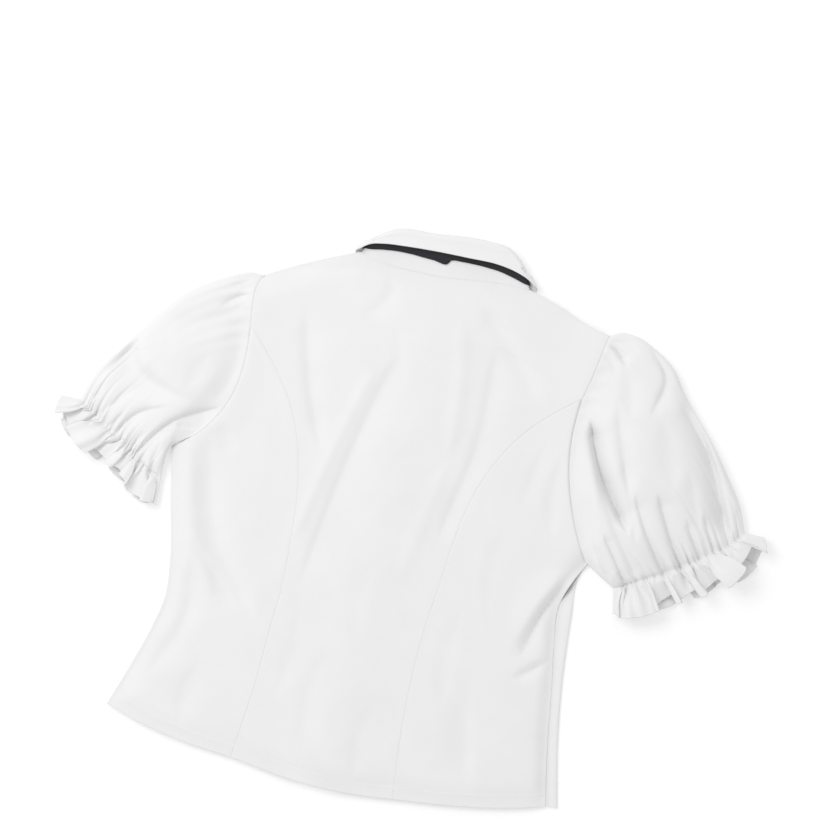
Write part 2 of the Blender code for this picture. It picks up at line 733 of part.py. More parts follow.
def ring_shares(back_count, front_count):
    """Shares along the collar's ring: left front, back and right front."""
    turn = np.linspace(0.48, 0, front_count)[:-1]
    left = (1 - np.cos(np.pi * turn)) / 2
    back = (1 - np.cos(np.pi * np.linspace(0, 1, back_count))) / 2
    turn = np.linspace(1, 0.52, front_count)[1:]
    right = (1 - np.cos(np.pi * turn)) / 2
    shares = np.concatenate([left, back, right])
    at_back = np.zeros(len(shares), bool)
    at_back[len(left):len(left) + len(back)] = True
    return shares, at_back


def ring(back_rows, front_rows, shares, at_back):
    order = np.argsort(shares, kind="stable")
    place = np.argsort(order, kind="stable")
    back = line(back_rows, shares[order])[place]
    front = line(front_rows, shares[order])[place]
    return np.where(at_back[:, None], back, front)


def ring_height(shares, at_back, high, low):
    """Height round the ring: low in front, high at the back, and rounded at the sides."""
    turned = np.minimum(shares, 1 - shares) * np.where(at_back, BACK_ROUNDING, FRONT_ROUNDING)
    rounded = np.sqrt(np.clip(1 - (1 - np.clip(turned, 0, 1)) ** 2, 0, 1))
    middle = (high + low) / 2
    return np.where(at_back, middle + (high - middle) * rounded, middle - (middle - low) * rounded)


def collar(cloth, ribbon_look):
    shares, at_back = ring_shares(31, 12)
    neck = ring(NECK_BACK, NECK_FRONT, shares, at_back)
    roll = ring(ROLL_BACK, ROLL_FRONT, shares, at_back)
    edge = ring(LEAF_EDGE_BACK, LEAF_EDGE_FRONT, shares, at_back)
    up = (roll - neck) / np.linalg.norm(roll - neck, axis=1, keepdims=True)
    neck = neck + SEAM_GAP * up
    neck_high = back_height(neck[:, 0], neck[:, 1])
    neck_z = ring_height(shares, at_back, neck_high, NECK_LIFT)
    roll_z = ring_height(shares, at_back, ROLL_HEIGHT, NECK_LIFT)
    neck = with_height(neck, neck_z)
    roll = with_height(roll, roll_z)
    stand = np.stack([neck + (roll - neck) * w for w in (0.0, 0.33, 0.67, 1.0)])
    wall("collar_stand", stand, cloth, outward=-1)

    # Outward directions round the ring carry the ribbon and the leaf off the stand.
    tangent = np.gradient(stand[2], axis=0)
    outward = np.cross(tangent, roll - neck)
    outward /= np.linalg.norm(outward, axis=1, keepdims=True)
    lower = np.interp(shares, [row[0] for row in RIBBON_LOWER], [row[1] for row in RIBBON_LOWER])
    lower = np.where(at_back, lower, FRONT_RIBBON_LOWER)
    ribbon = []
    for share in (0.0, 0.5, 1.0):
        down = RIBBON_UPPER + share * (lower - RIBBON_UPPER)
        ribbon.append(roll + (neck - roll) * down[:, None] + outward * (WALL + LAYER_GAP))
    wall("neck_ribbon", np.stack(ribbon), ribbon_look)

    leaf = []
    leaf_reach = np.linalg.norm(edge - roll[:, :2], axis=1)
    stand_reach = np.linalg.norm(roll[:, :2] - neck[:, :2], axis=1)
    edge_base = roll[:, 2] + (neck[:, 2] - roll[:, 2]) * np.clip(leaf_reach / stand_reach, 0, 1)
    course = np.gradient(roll, axis=0)
    course /= np.linalg.norm(course, axis=1, keepdims=True)
    beyond = roll - neck
    beyond -= (beyond * course).sum(axis=1, keepdims=True) * course
    beyond /= np.linalg.norm(beyond, axis=1, keepdims=True)
    leaf.append(roll + beyond * LEAF_START_BEYOND + outward * LEAF_START_OFF)
    for along, off_back, off_front in LEAF_SECTION:
        room = 1 + LEAF_SIDE_ROOM * (1 - np.abs(outward[:, 2]))
        off = np.where(at_back, off_back, off_front) * room
        off = off[:, None] * outward
        off[:, :2] *= 1 - along
        plan = roll[:, :2] * (1 - along) + edge * along
        height = roll[:, 2] * (1 - along) + edge_base * along
        leaf.append(with_height(plan, height) + off)
    wall("collar_leaf", np.stack(leaf), cloth)


for item in list(bpy.data.objects):
    bpy.data.objects.remove(item, do_unlink=True)
BLOUSE = bpy.data.collections.new("Ruffle blouse")
bpy.context.scene.collection.children.link(BLOUSE)
WHITE_CLOTH = material("White cloth", WHITE, 0.75)
BLACK_RIBBON = material("Black ribbon", BLACK, 0.4)
BUTTON = material("Button", PEARL, 0.35)

body_panels(WHITE_CLOTH)
front_panels(WHITE_CLOTH)
buttons(BUTTON)
sleeve(
    "sleeve_left",
    OVER_ARM_LEFT,
    UNDER_ARM_LEFT,
    moved(ARMHOLE_LEFT, -ARMHOLE_GAP)[ARMHOLE_LEFT[:, 1] > UNDERARM_LEFT_Y],
    ELASTIC_LEFT,
    RUFFLE_EDGE_LEFT,
    SLEEVE_FOLDS_LEFT,
    1,
    WHITE_CLOTH,
)
sleeve(
    "sleeve_right",
    OVER_ARM_RIGHT,
    UNDER_ARM_RIGHT,
    moved(ARMHOLE_RIGHT, ARMHOLE_GAP),
    ELASTIC_RIGHT,
    RUFFLE_EDGE_RIGHT,
    SLEEVE_FOLDS_RIGHT,
    -1,
    WHITE_CLOTH,
)
collar(WHITE_CLOTH, BLACK_RIBBON)
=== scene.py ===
"""Looks of a white short-sleeved ruffle blouse that lies flat with its back up.

Each piece of cloth is a thin shell on its solid's form, worked out as a grid of points
from short tables. The tables and sizes are in millimetres, in the flat drawing of the
blouse as it lies: x to the right of the back, y to the collar and z up.
"""

import bpy
import numpy as np
from bpy.props import FloatProperty, FloatVectorProperty, PointerProperty
from mathutils import Matrix, Vector


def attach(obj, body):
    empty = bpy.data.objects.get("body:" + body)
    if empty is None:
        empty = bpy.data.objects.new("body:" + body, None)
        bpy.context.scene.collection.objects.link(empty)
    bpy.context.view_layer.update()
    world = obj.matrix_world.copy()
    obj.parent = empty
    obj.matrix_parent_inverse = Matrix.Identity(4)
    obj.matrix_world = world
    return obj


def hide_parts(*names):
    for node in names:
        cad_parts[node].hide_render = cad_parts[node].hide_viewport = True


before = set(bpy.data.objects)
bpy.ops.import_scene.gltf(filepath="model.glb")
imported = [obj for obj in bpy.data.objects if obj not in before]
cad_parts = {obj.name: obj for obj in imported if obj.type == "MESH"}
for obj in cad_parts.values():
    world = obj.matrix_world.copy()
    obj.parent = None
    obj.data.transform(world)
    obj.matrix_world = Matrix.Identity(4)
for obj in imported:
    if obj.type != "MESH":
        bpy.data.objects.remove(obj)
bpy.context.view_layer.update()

bl_info = {
    "name": "Ruffle blouse",
    "version": (1, 0, 0),
    "blender": (4, 5, 0),
    "location": "3D View > Sidebar > Blouse",
    "description": "A white blouse with gathered puff sleeves, laid flat with its back up",
    "category": "Add Mesh",
}

MM = 0.001

# The point of the drawing that is the origin of the frame.
CENTRE_X = 18.8
CENTRE_Y = -255.0

# Heights of the laid layers, as the solids have them.
WALL = 1.1
LAYER_GAP = 0.3
LOWEST_BACK = 2 * WALL + LAYER_GAP + 0.1
BACK_HEIGHT = 5.3
EDGE_DROP = 2.8
EDGE_REACH = 12.0
ARMHOLE_RISE = 2.6
ARMHOLE_REACH = 22.0
BAND_RISE = 2.8
BAND_REACH = 34.0
BAND_TOP_Y = -30.0
BAND_TOP_REACH = 55.0
NECK_RISE_START = 12.0
NECK_RISE_REACH = 48.0
NECK_ROOM = 0.65
BAND_HALF_WIDTH = 13.0
BAND_HEIGHT = 2.9
NECK_LIFT = BAND_HEIGHT
NECK_LIFT_REACH = 40.0
FRONT_NECK_GAP = 1.2
FOLD_RADIUS = 8.0
TURN_RADIUS = 2.4
TURNED_GAP = 0.8
FRONT_SPLIT = 0.42
BACK_SPLIT = 0.10
NECK_SHARE = 0.47

# Seams are narrow grooves with puckers beside them.
SEAM_DIP = 0.22
SEAM_WIDTH = 0.8
PUCKER = 0.10
PUCKER_START = 1.5
PUCKER_REACH = 7.0
PUCKER_LENGTH = 1.35
PUCKER_DRIFT = 19.0
HEM_WIDTH = 13.0
HEM_STEP = 0.3
HEM_STEP_WIDTH = 1.2

# A slow unevenness of the laid cloth: its height and the lengths of its waves.
SLOW_HEIGHT = 0.22
SLOW_LENGTHS = (23.0, 61.0, 37.0, 48.0)

# The air under the back lifts it this much more inside its edges.
LOFT = 3.0
LOFT_REACH = 26.0

# The right front's turned strip lies lower than the back beside it.
STRIP_HEIGHT = 2.6
STRIP_REACH = 8.0

# At this height down the side the back overhangs the strip.
OVERHANG_Y = -283.0
OVERHANG_REACH = 13.0
OVERHANG_RISE = 3.0
OVERHANG_DROP = 1.8

# The right side back's upper edge moves in by this much at its very end.
UNDERARM_SHIFT = (0.6, 0.5)
UNDERARM_SHARE = 1 / 8

# A sewn edge reaches this far under its neighbour, this much lower.
TUCK = 0.5
TUCK_DROP = 0.6

# A crease's depth fades over this many of its half widths at its ends.
TIP_WIDTHS = 4.0
TIP_SHARE = 0.4
TIP_WIDTH_SHARE = 0.3
CREASE_STEPS = 11

CUFF_GATHERS = 16
CAP_GATHERS = 9
RUFFLE_LOBE = 3.5
RUFFLE_SHARE = 0.25

BUTTON_COUNT = 6
BUTTON_FIRST_Y = -112.0
BUTTON_PITCH = 70.0

# Outlines of the body, seen from above: x, y.
SHOULDER_LEFT = (
    (-84, -10.5), (-116.5, -25.5), (-142, -38.7), (-173.6, -57.2),
)
SHOULDER_RIGHT = (
    (88, -7), (112, -13), (130, -19), (148.6, -25.6), (166, -30.3), (176.5, -32.5),
)
ARMHOLE_LEFT_UPPER = (
    (-173.6, -57.2), (-177.5, -71), (-176.5, -88), (-173.8, -108),
)
ARMHOLE_LEFT_LOWER = (
    (-173.8, -108), (-171, -139), (-172, -165), (-177, -187), (-187.5, -209), (-205, -231),
    (-221.4, -245),
)
ARMHOLE_RIGHT_UPPER = (
    (176.5, -32.5), (173, -53), (169, -80), (164.8, -100),
)
ARMHOLE_RIGHT_LOWER = (
    (164.8, -100), (164.2, -134), (169.5, -173), (181, -207), (192, -231), (201, -247),
    (210.8, -258.7),
)
PRINCESS_LEFT = (
    (-173.8, -108), (-142, -141), (-116, -176), (-100, -211), (-89, -254), (-83, -309),
    (-80.5, -354), (-82, -400), (-83, -453), (-89, -532),
)
PRINCESS_RIGHT = (
    (164.8, -100), (137, -125), (119, -145), (95.5, -185), (82, -223), (75.5, -264), (71.6, -316),
    (67.6, -368), (67.5, -418), (71, -475), (78, -534),
)
SIDE_LEFT = (
    (-221.4, -245), (-209.5, -297), (-195.5, -355), (-191.6, -393), (-197, -425), (-207, -462),
    (-222, -510),
)
SIDE_RIGHT = (
    (210.8, -258.7), (205.4, -275), (207.6, -314), (211, -350), (215, -383), (225, -440),
    (240, -503),
)
SIDE_SEAM_RIGHT = (
    (210.2, -259.2), (200.9, -278), (192.6, -307), (197.5, -346), (204.8, -384), (214.5, -440),
    (228, -504.5),
)
HEM_LEFT = (
    (-222, -510), (-178, -522), (-132, -529), (-89, -532),
)
HEM_CENTRE = (
    (-89, -532), (-40, -538), (8, -540), (45, -538), (78, -534),
)
HEM_RIGHT = (
    (78, -534), (130, -527), (182, -517), (228, -504.5),
)

# Necklines and collar, each from the left to the right: x, y.
NECK_BACK = (
    (-84, -10.5), (-66, -15.5), (-41, -17.4), (-17.5, -16.9), (10.6, -14.9), (36, -11), (58, -8.2),
    (88, -7),
)
NECK_FRONT = (
    (-84, -10.5), (-82, -36), (-66, -63), (-38, -84), (0, -92), (42, -82), (70, -59), (85, -33),
    (88, -7),
)
ROLL_BACK = (
    (-79.5, 0.5), (-72, 6.5), (-56, 17.2), (-15, 22.8), (36, 28.2), (58, 26.4), (70, 18.6),
    (81, 6.5),
)
ROLL_FRONT = (
    (-79.5, 0.5), (-76, -22), (-60, -45), (-35, -62), (0, -69), (38, -60), (63, -41), (78, -17),
    (81, 6.5),
)
LEAF_EDGE_BACK = (
    (-90.6, -10.2), (-78, -0.9), (-65, 2.4), (-42, 5.2), (-11, 7.6), (20.5, 8.9), (52, 9.6),
    (71.5, 6.6), (85, 2.2), (95.4, -4.2),
)
LEAF_EDGE_FRONT = (
    (-90.6, -10.2), (-88, -38), (-70, -68), (-40, -91), (0, -99), (44, -89), (74, -64), (91, -34),
    (95.4, -4.2),
)

# Creases: three points, half width and depth at either end, how much wider the left side is,
# and how soft the bottom is, from 1 for a sharp line to 2 for a round trough.
# A ridge has a negative depth.
BACK_CREASES = (
    # x0, y0, x1, y1, x2, y2, width 0, width 1, depth 0, depth 1, lean, softness
    (-126, -74, -106, -140, -76, -215, 8, 9, 2.6, 3.2, 0.3, 1.7),
    (-22, -95, -44, -199, -64, -350, 9, 10, 2.3, 2, 0.45, 1.8),
    (-42, -115, -63, -203, -82, -310, 7, 7, -1.8, -1.6, 0, 1.9),
    (-33, -69, -22, -102, -10.5, -136, 6, 6, 0.9, 0.7, 0, 2),
    (-54, -22, -46, -43, -70, -78, 6, 9, 2, 1.6, 0.2, 1.8),
    (40, -26, 68, -52, 131, -121, 8, 9, 2.2, 2.8, -0.2, 1.7),
    (70, -66, 76, -160, 58, -280, 9, 11, 2, 2.3, 0.4, 1.8),
    (26, -43, 42, -105, 50, -190, 8, 8, -1.4, -1.8, 0, 1.9),
    (50, -190, 40, -260, 30, -330, 9, 9, -1.6, -0.9, 0, 1.9),
    (-190, -215, -155, -325, -96, -396, 16, 9, 4.8, 4.2, -0.2, 1.7),
    (-186, -326, -146, -362, -119, -388, 7, 7, 2.2, 2.2, -0.3, 1.6),
    (-176, -340, -166, -400, -192, -478, 9, 10, 3.4, 2.8, 0.2, 1.8),
    (199, -262, 176, -300, 152, -372, 9, 12, -5.5, -3, -0.5, 1.7),
    (214, -262, 184, -303, 164, -372, 4.2, 6, 4.8, 3, 0.5, 1.4),
    (198, -357, 180, -375, 160, -391, 5, 5, 4.2, 2.6, 0.3, 1.5),
    (-20, -395, -28, -450, -20, -520, 12, 12, 1.5, 1.4, 0.3, 2),
    (122, -400, 132, -452, 150, -515, 12, 12, 2.2, 2.2, -0.3, 1.9),
    (-176, -205, -172, -222, -160, -245, 11, 10, 2.4, 1.2, 0, 1.9),
    (-207, -226, -186, -312, -142, -388, 12, 10, -3.4, -3.4, 0, 2),
    (162, -150, 160, -205, 170, -250, 10, 9, 2, 1.8, 0.2, 1.9),
    (140, -150, 136, -190, 130, -230, 7, 8, 1.4, 0.8, 0.2, 1.9),
    (120, -235, 118, -285, 126, -340, 9, 10, 0.8, 1.2, 0.2, 2),
    (4, -300, -4, -345, 8, -400, 10, 12, 0.8, 1.2, -0.2, 2),
    (38, -440, 30, -480, 36, -528, 9, 12, 0.8, 1.6, 0.2, 2),
    (-140, -440, -150, -480, -146, -518, 9, 11, 1, 1.8, 0.3, 2),
    (100, -330, 96, -380, 104, -440, 9, 10, 0.9, 1.3, -0.2, 2),
    (-60, -360, -54, -410, -62, -470, 9, 10, 0.9, 1.3, 0.2, 2),
)

# Sleeves, from the shoulder to the underarm or from the armhole to the elastic: x, y.
OVER_ARM_LEFT = (
    (-174.2, -56.6), (-185, -56.2), (-196.5, -60), (-211, -68), (-229.5, -80), (-247, -95),
    (-262, -114), (-279, -139), (-296, -165), (-307, -181), (-316, -203), (-320.5, -221.5),
)
UNDER_ARM_LEFT = (
    (-205.6, -230.5), (-214.6, -238.2), (-222.8, -244.4), (-225, -250), (-225.4, -263),
    (-224, -279),
)
ELASTIC_LEFT = (
    (-320.5, -221.5), (-302, -234), (-278, -247.5), (-262, -257.5), (-245, -270), (-224, -279),
)
RUFFLE_EDGE_LEFT = (
    (-340.5, -222), (-338, -241), (-318, -258), (-293, -271.5), (-267, -284), (-245, -300),
    (-222, -306),
)
OVER_ARM_RIGHT = (
    (177.2, -31.8), (189.6, -25.6), (204, -25.8), (225, -34), (247, -48), (263, -69), (282, -90),
    (304.6, -114), (326, -141), (345, -168), (355, -191),
)
UNDER_ARM_RIGHT = (
    (211.6, -259.1), (226, -268), (241, -276),
)
ELASTIC_RIGHT = (
    (355, -191), (341, -208), (318, -226), (290, -246), (264, -262), (241, -276),
)
RUFFLE_EDGE_RIGHT = (
    (375, -190), (378, -214), (356, -238), (326, -259), (300, -277), (272, -290), (246, -301),
)

# A sleeve's sections from the armhole to the ruffle's edge, which is a quarter past the elastic.
SLEEVE_SECTIONS = (
    # along, crown, fold, cap gather, cuff gather, ruffle lift
    (0, 8, 2.7, 0, 0, 0),
    (0.06, 15, 4, 0.5, 0, 0),
    (0.17, 22, 5, 0.3, 0, 0),
    (0.35, 28, 6, 0.1, 0, 0),
    (0.57, 29, 6.5, 0, 0.2, 0),
    (0.77, 26, 6.5, 0, 0.6, 0),
    (0.9, 21, 6.5, 0, 1.2, 0),
    (1, 16, 6, 0, 1.5, 0),
    (1.083, 17, 6.5, 0, 1, 0.5),
    (1.167, 18, 7, 0, 0.5, 0.8),
    (1.25, 18.5, 7, 0, 0.3, 1),
)
LEFT_CREASES = (
    # x0, y0, x1, y1, x2, y2, width 0, width 1, depth 0, depth 1, lean, softness
    (-177, -76.5, -192, -84, -212, -104, 2, 8, 3, 2.2, 0.4, 1.4),
    (-178, -64, -188, -67, -202, -75, 1.6, 5, 1.6, 0.7, -0.3, 1.5),
    (-178, -70, -186, -74, -196, -82, 1.4, 4, 1.3, 0.5, 0.3, 1.5),
    (-177, -84, -186, -90, -196, -99, 1.4, 4, 1.2, 0.5, 0.2, 1.5),
    (-186, -99, -222, -118, -262, -122, 10, 13, 2.4, 2.2, 0, 2),
    (-292, -120, -279, -176, -210, -199, 18, 11, 11, 7, -0.3, 2),
    (-310, -247, -285, -214, -260, -189, 3.4, 9, 5, 2.6, 0.5, 1.2),
    (-284, -252, -261, -221, -228, -205, 3.4, 8, 6, 3.2, -0.5, 1.2),
    (-257, -264, -227, -222, -178, -193, 3.8, 8, 7, 5, -0.5, 1.2),
    (-226, -223, -212, -222, -198, -223, 3, 3, 1.8, 0.9, 0.3, 1.5),
    (-177, -112, -178, -158, -192, -196, 5, 6, 0.5, 0.9, -0.2, 1.8),
    (-205, -140, -214, -165, -222, -192, 9, 8, 1.2, 1.4, 0, 2),
    (-312, -224, -304, -208, -298, -196, 2.4, 5, 3.2, 1, 0.3, 1.3),
    (-290, -245, -279, -230, -272, -219, 2, 3.6, 3, 0.9, -0.3, 1.3),
    (-263, -258, -252, -243, -246, -233, 2.2, 4, 3.2, 1, 0.3, 1.3),
    (-238, -268, -234, -252, -231, -240, 2.4, 4, 3, 1.2, 0.2, 1.3),
)
RIGHT_CREASES = (
    (166, -39, 187, -45, 201, -61, 2.6, 3.6, 6, 6, 0.4, 1.2),
    (174, -36, 196, -37, 214, -47, 2.4, 6, 2, 1.6, -0.3, 1.5),
    (215, -30, 241, -60, 234, -104, 4, 7, 3.4, 5, 0.4, 1.4),
    (168, -50, 184, -58, 194, -74, 1.8, 4, 2, 1, 0.3, 1.5),
    (196, -52, 210, -84, 218, -112, 7, 11, 1.6, 4, 0, 1.9),
    (177, -116, 198, -163, 243, -222, 5.5, 6, 17, 17, 0.3, 1.3),
    (176, -140, 188, -178, 208, -212, 10, 9, -2.6, -1.8, 0, 1.9),
    (198, -92, 214, -134, 234, -184, 8, 7, 3, 4.6, 0.3, 1.7),
    (262, -64, 305, -130, 346, -214, 7, 9, 10, 15, -0.5, 1.5),
    (236, -176, 257, -213, 292, -259, 5, 3.2, 5.4, 6.4, 0.4, 1.2),
    (258, -170, 281, -211, 316, -263, 5.2, 3.2, 5.8, 6.8, 0.4, 1.2),
    (190, -156, 222, -210, 266, -268, 8, 5, 2.8, 4.8, 0.2, 1.6),
    (216, -224, 237, -251, 258, -282, 3.2, 2.4, 3.6, 4.8, 0.3, 1.2),
    (292, -188, 306, -212, 320, -234, 3.8, 2.6, 3, 4.6, 0.3, 1.3),
    (308, -178, 320, -202, 333, -222, 3.6, 2.4, 3, 4.6, 0.3, 1.3),
    (338, -166, 349, -181, 359, -194, 3, 2.2, 3, 4, 0.2, 1.3),
    (206, -234, 221, -253, 238, -272, 5, 3, 2.4, 3.6, 0.2, 1.4),
    (246, -94, 260, -130, 276, -172, 11, 10, 2, 2.4, 0, 2),
    (218, -144, 234, -185, 252, -230, 7, 5, 2.2, 3, 0, 1.8),
    (284, -140, 296, -170, 312, -204, 8, 6, 2, 3, -0.2, 1.8),
)

# Ruffles on the upper side: where each wave lies, and how far its edge reaches and lifts.
LEFT_RUFFLE = (
    # share from the over-arm, wave phase in half turns, reach, lift
    (0, 0, 0, 1),
    (0.08, 0.4, 2, 2),
    (0.16, 1, -2, 0),
    (0.26, 1.7, 0, 1),
    (0.38, 2.2, 0, 2),
    (0.46, 2.6, -1, 0),
    (0.53, 3, 0, 1),
    (0.59, 4, -4, -2),
    (0.64, 4.9, 0, 2),
    (0.7, 6, -5, -2),
    (0.8, 6.9, 6, 5),
    (0.88, 7.3, 3, 3),
    (0.95, 8.1, -4, -1),
    (1, 9, 0, 0),
)
RIGHT_RUFFLE = (
    (0, 0, 2, 1),
    (0.05, 0.3, 3, 4),
    (0.1, 0.9, -12, 7),
    (0.2, 1.3, -14, 8),
    (0.27, 1.8, -4, 6),
    (0.36, 2.4, 0, 2),
    (0.4, 2.9, -3, -1),
    (0.49, 3.6, 3, 2),
    (0.53, 4.8, -1, -1),
    (0.62, 5.5, 1, 3),
    (0.66, 6.8, -6, -3),
    (0.76, 7.5, 3, 1),
    (0.88, 8.1, 3, 1),
    (1, 8.3, 0, 0),
)

# A sleeve's grid: its columns, the upper side's share of the way round, and its rows.
TOP_COLUMNS = 226
UNDER_COLUMNS = 86
TOP_SHARE = 56 / 96
SLEEVE_ROWS = (
    (0, 0.06, 9),
    (0.06, 0.8, 86),
    (0.8, 1.25, 58),
)

# How far down the left armhole its sleeve is sewn, and each puff: the share of its section's
# crown, how much further its inner side takes to rise, and the phase of its unevenness.
LEFT_ARMHOLE_END_Y = -231.5
LEFT_PUFF = (0.70, 0.4, 0.7)
RIGHT_PUFF = (0.95, 0.2, 2.3)
RISE_REACH = 0.16
TUCK_REACH = 0.004

# Gathers at the elastic: how many half turns, depth, reach into the puff, phase.
GATHER_ROWS = ((43, 2.4, 0.13, 0.3), (27, 2.6, 0.26, 1.9), (67, 0.6, 0.05, 4.1))
VALLEY_WIDTH = 0.38
PAST_REACH = 0.11
CAP_SHARE = 0.6
PINCH = 2.6
PINCH_REACH = 0.024
CRUMPLE = 0.8

# Rows of a sleeve's grid along which its elastic and its ruffle's hem are sewn.
ELASTIC_ROWS = (118, 120)
RUFFLE_HEM_ROW = 147
SLEEVE_POINTS = {}
THREAD = 0.16
THREAD_LIFT = (0.0, 0.0, 0.05)
HEM_THREAD_LIFT = (0.0, 0.0, 0.03)
STITCH_INSET = 1.6
BAND_STITCH_INSET = 2.0
BUTTONHOLE_HALF = 7.0
THREAD_HALF = 1.3
THREAD_X = 0.8
THREAD_Z = 0.72

# A ruffle's wave: how far it swings and rises as shares of its length, and the most of each.
WAVE_WIDTH = 0.14
WAVE_HEIGHT = 0.19
WAVE_LIMIT = 6.0
LEAST_RATE = 6.0

# The leaf's section at the back: how far along from roll (0) to edge (1), and how far off.
LEAF_SECTION = (
    # along, off at the back, off at the front
    (0.00, 2.3, 2.2),
    (0.12, 3.1, NECK_LIFT),
    (0.40, 3.6, NECK_LIFT),
    (0.70, 5.0, NECK_LIFT),
    (1.00, 7.2, NECK_LIFT),
)

# The collar's ring: each front's share of it, and how soon its sides are rounded, back and front.
RING_FRONT = 0.48
SIDE_ROUNDING = (22, 30)
ROLL_HEIGHT = 9.5
STAND_ROWS = (0.0, 0.02, *np.linspace(0.06, 1, 14))
LEAF_KNOTS = (0.0, 0.07, 0.16, 0.42, 0.71, 1.0)
LEAF_ROWS = 30
LEAF_START = (1.8, 0.4)
RIBBON_ROWS = 8
RIBBON_THICKNESS = 1.4
RIBBON_UPPER = 0.27
FRONT_RIBBON_LOWER = 0.66
RIBBON_LOWER = (
    # share of the way from left to right, lower edge as a share of the way to the neck seam
    (0, 0.62), (0.1, 0.56), (0.3, 0.57), (0.42, 0.61), (0.475, 0.67), (0.5, 0.67), (0.515, 0.56),
    (0.54, 0.545), (0.7, 0.6), (0.85, 0.68), (1, 0.72),
)


def line(rows, at):
    """Points at the shares `at` of the way along a smooth cubic line through the rows."""
    points = np.array(rows, float)
    at = np.asarray(at, float)
    knots = np.concatenate([[0.0], np.cumsum(np.linalg.norm(np.diff(points, axis=0), axis=1))])
    knots /= knots[-1]
    return curve(knots, points, at)


def curve(knots, values, at):
    """Values at `at` on a cubic that passes each knot with the slope of its neighbours."""
    values = np.asarray(values, float)
    knots = np.asarray(knots, float)
    slopes = np.gradient(values, knots, axis=0)
    index = np.clip(np.searchsorted(knots, at, side="right") - 1, 0, len(knots) - 2)
    span = (knots[index + 1] - knots[index])[:, None]
    t = (at - knots[index])[:, None] / span
    start = (2 * t**3 - 3 * t**2 + 1) * values[index]
    start += (t**3 - 2 * t**2 + t) * span * slopes[index]
    end = (3 * t**2 - 2 * t**3) * values[index + 1]
    end += (t**3 - t**2) * span * slopes[index + 1]
    return start + end


def chain(first, second, split, at):
    """Two lines end to end, the first one up to the share `split`."""
    at = np.asarray(at, float)
    early = line(first, np.clip(at / split, 0, 1))
    late = line(second, np.clip((at - split) / (1 - split), 0, 1))
    return np.where((at <= split)[:, None], early, late)


def moved(points, distance):
    """The points moved to the left of their line's own direction."""
    along = np.gradient(points, axis=0)
    along /= np.linalg.norm(along, axis=1, keepdims=True)
    return points + distance * np.stack([-along[:, 1], along[:, 0]], axis=1)


def patch(top, bottom, left, right, p, q):
    """The surface between four lines: the sum of both ways across, less the corners' share."""
    p = np.asarray(p, float)[None, :, None]
    q = np.asarray(q, float)[:, None, None]
    between = (1 - q) * top[None] + q * bottom[None]
    across = (1 - p) * left[:, None] + p * right[:, None]
    above = (1 - p) * top[0] + p * top[-1]
    below = (1 - p) * bottom[0] + p * bottom[-1]
    corners = (1 - q) * above + q * below
    return between + across - corners


def smooth(value):
    """From 0 to 1 with a soft start and end."""
    value = np.clip(value, 0.0, 1.0)
    return value * value * (3 - 2 * value)


def nearest(x, y, points):
    """Signed distance to a line of points, positive on its left, and how far along that is."""
    best = np.full(np.shape(x), 1e9)
    signed = np.zeros(np.shape(x))
    along = np.zeros(np.shape(x))
    for number, (start, end) in enumerate(zip(points[:-1], points[1:])):
        run = end - start
        past = (x - start[0]) * run[0] + (y - start[1]) * run[1]
        share = np.clip(past / max(run @ run, 1e-9), 0, 1)
        off_x = x - start[0] - share * run[0]
        off_y = y - start[1] - share * run[1]
        away = np.hypot(off_x, off_y)
        closer = away < best
        best = np.where(closer, away, best)
        side = np.sign(run[0] * off_y - run[1] * off_x)
        signed = np.where(closer, away * np.where(side == 0, 1, side), signed)
        along = np.where(closer, (number + share) / (len(points) - 1), along)
    return signed, along


def distance(x, y, points):
    """Distance from each x, y to a line of points."""
    return np.abs(nearest(x, y, points)[0])


def creases(x, y, rows):
    """Depth of the creases: bells across smooth lines, wider on one side, with soft tips."""
    total = np.zeros(np.shape(x))
    for x0, y0, x1, y1, x2, y2, wide0, wide1, deep0, deep1, lean, soft in rows:
        points = line(((x0, y0), (x1, y1), (x2, y2)), np.linspace(0, 1, CREASE_STEPS))
        away, along = nearest(x, y, points)
        width = wide0 + (wide1 - wide0) * along
        length = np.linalg.norm(np.diff(points, axis=0), axis=1).sum()
        fade = np.minimum(TIP_WIDTHS * width, TIP_SHARE * length)
        tip = smooth(np.minimum(along, 1 - along) * length / fade)
        width = width * (TIP_WIDTH_SHARE + (1 - TIP_WIDTH_SHARE) * tip)
        wide = width * (1 + lean * np.tanh(away))
        deep = (deep0 + (deep1 - deep0) * along) * tip
        total += deep * np.exp(-((np.abs(away) / wide) ** soft))
    return total


# How the rows and columns of the panels are spread.
CLOSE_TO_EDGE = (0.4, 0.9, 1.5, 2.3, 3.4, 5.0)
ROW_CROWDING = 0.9
STITCHED_EDGE = (0.022, 0.033, 9)
LAST_ROWS = (0.996, 0.998)

# Seams and edges as lines of points.
STEPS = np.linspace(0, 1, 33)
LOW_EDGES = [
    line(rows, STEPS) for rows in (SHOULDER_LEFT, SHOULDER_RIGHT, SIDE_LEFT, SIDE_RIGHT)
]
ARMHOLES = [
    np.concatenate([line(upper, STEPS)[:-1], line(lower, STEPS)])
    for upper, lower in (
        (ARMHOLE_LEFT_UPPER, ARMHOLE_LEFT_LOWER),
        (ARMHOLE_RIGHT_UPPER, ARMHOLE_RIGHT_LOWER),
    )
]
ARMHOLE_LEFT, ARMHOLE_RIGHT = ARMHOLES
NECK_LINE = line(NECK_FRONT, STEPS)
NECK_SEAM = line(NECK_BACK, STEPS)
PRINCESS_SEAMS = (line(PRINCESS_LEFT, STEPS), line(PRINCESS_RIGHT, STEPS))
SIDE_SEAM = line(SIDE_SEAM_RIGHT, STEPS)
HEM_LINE = np.concatenate([line(rows, STEPS) for rows in (HEM_LEFT, HEM_CENTRE, HEM_RIGHT)])


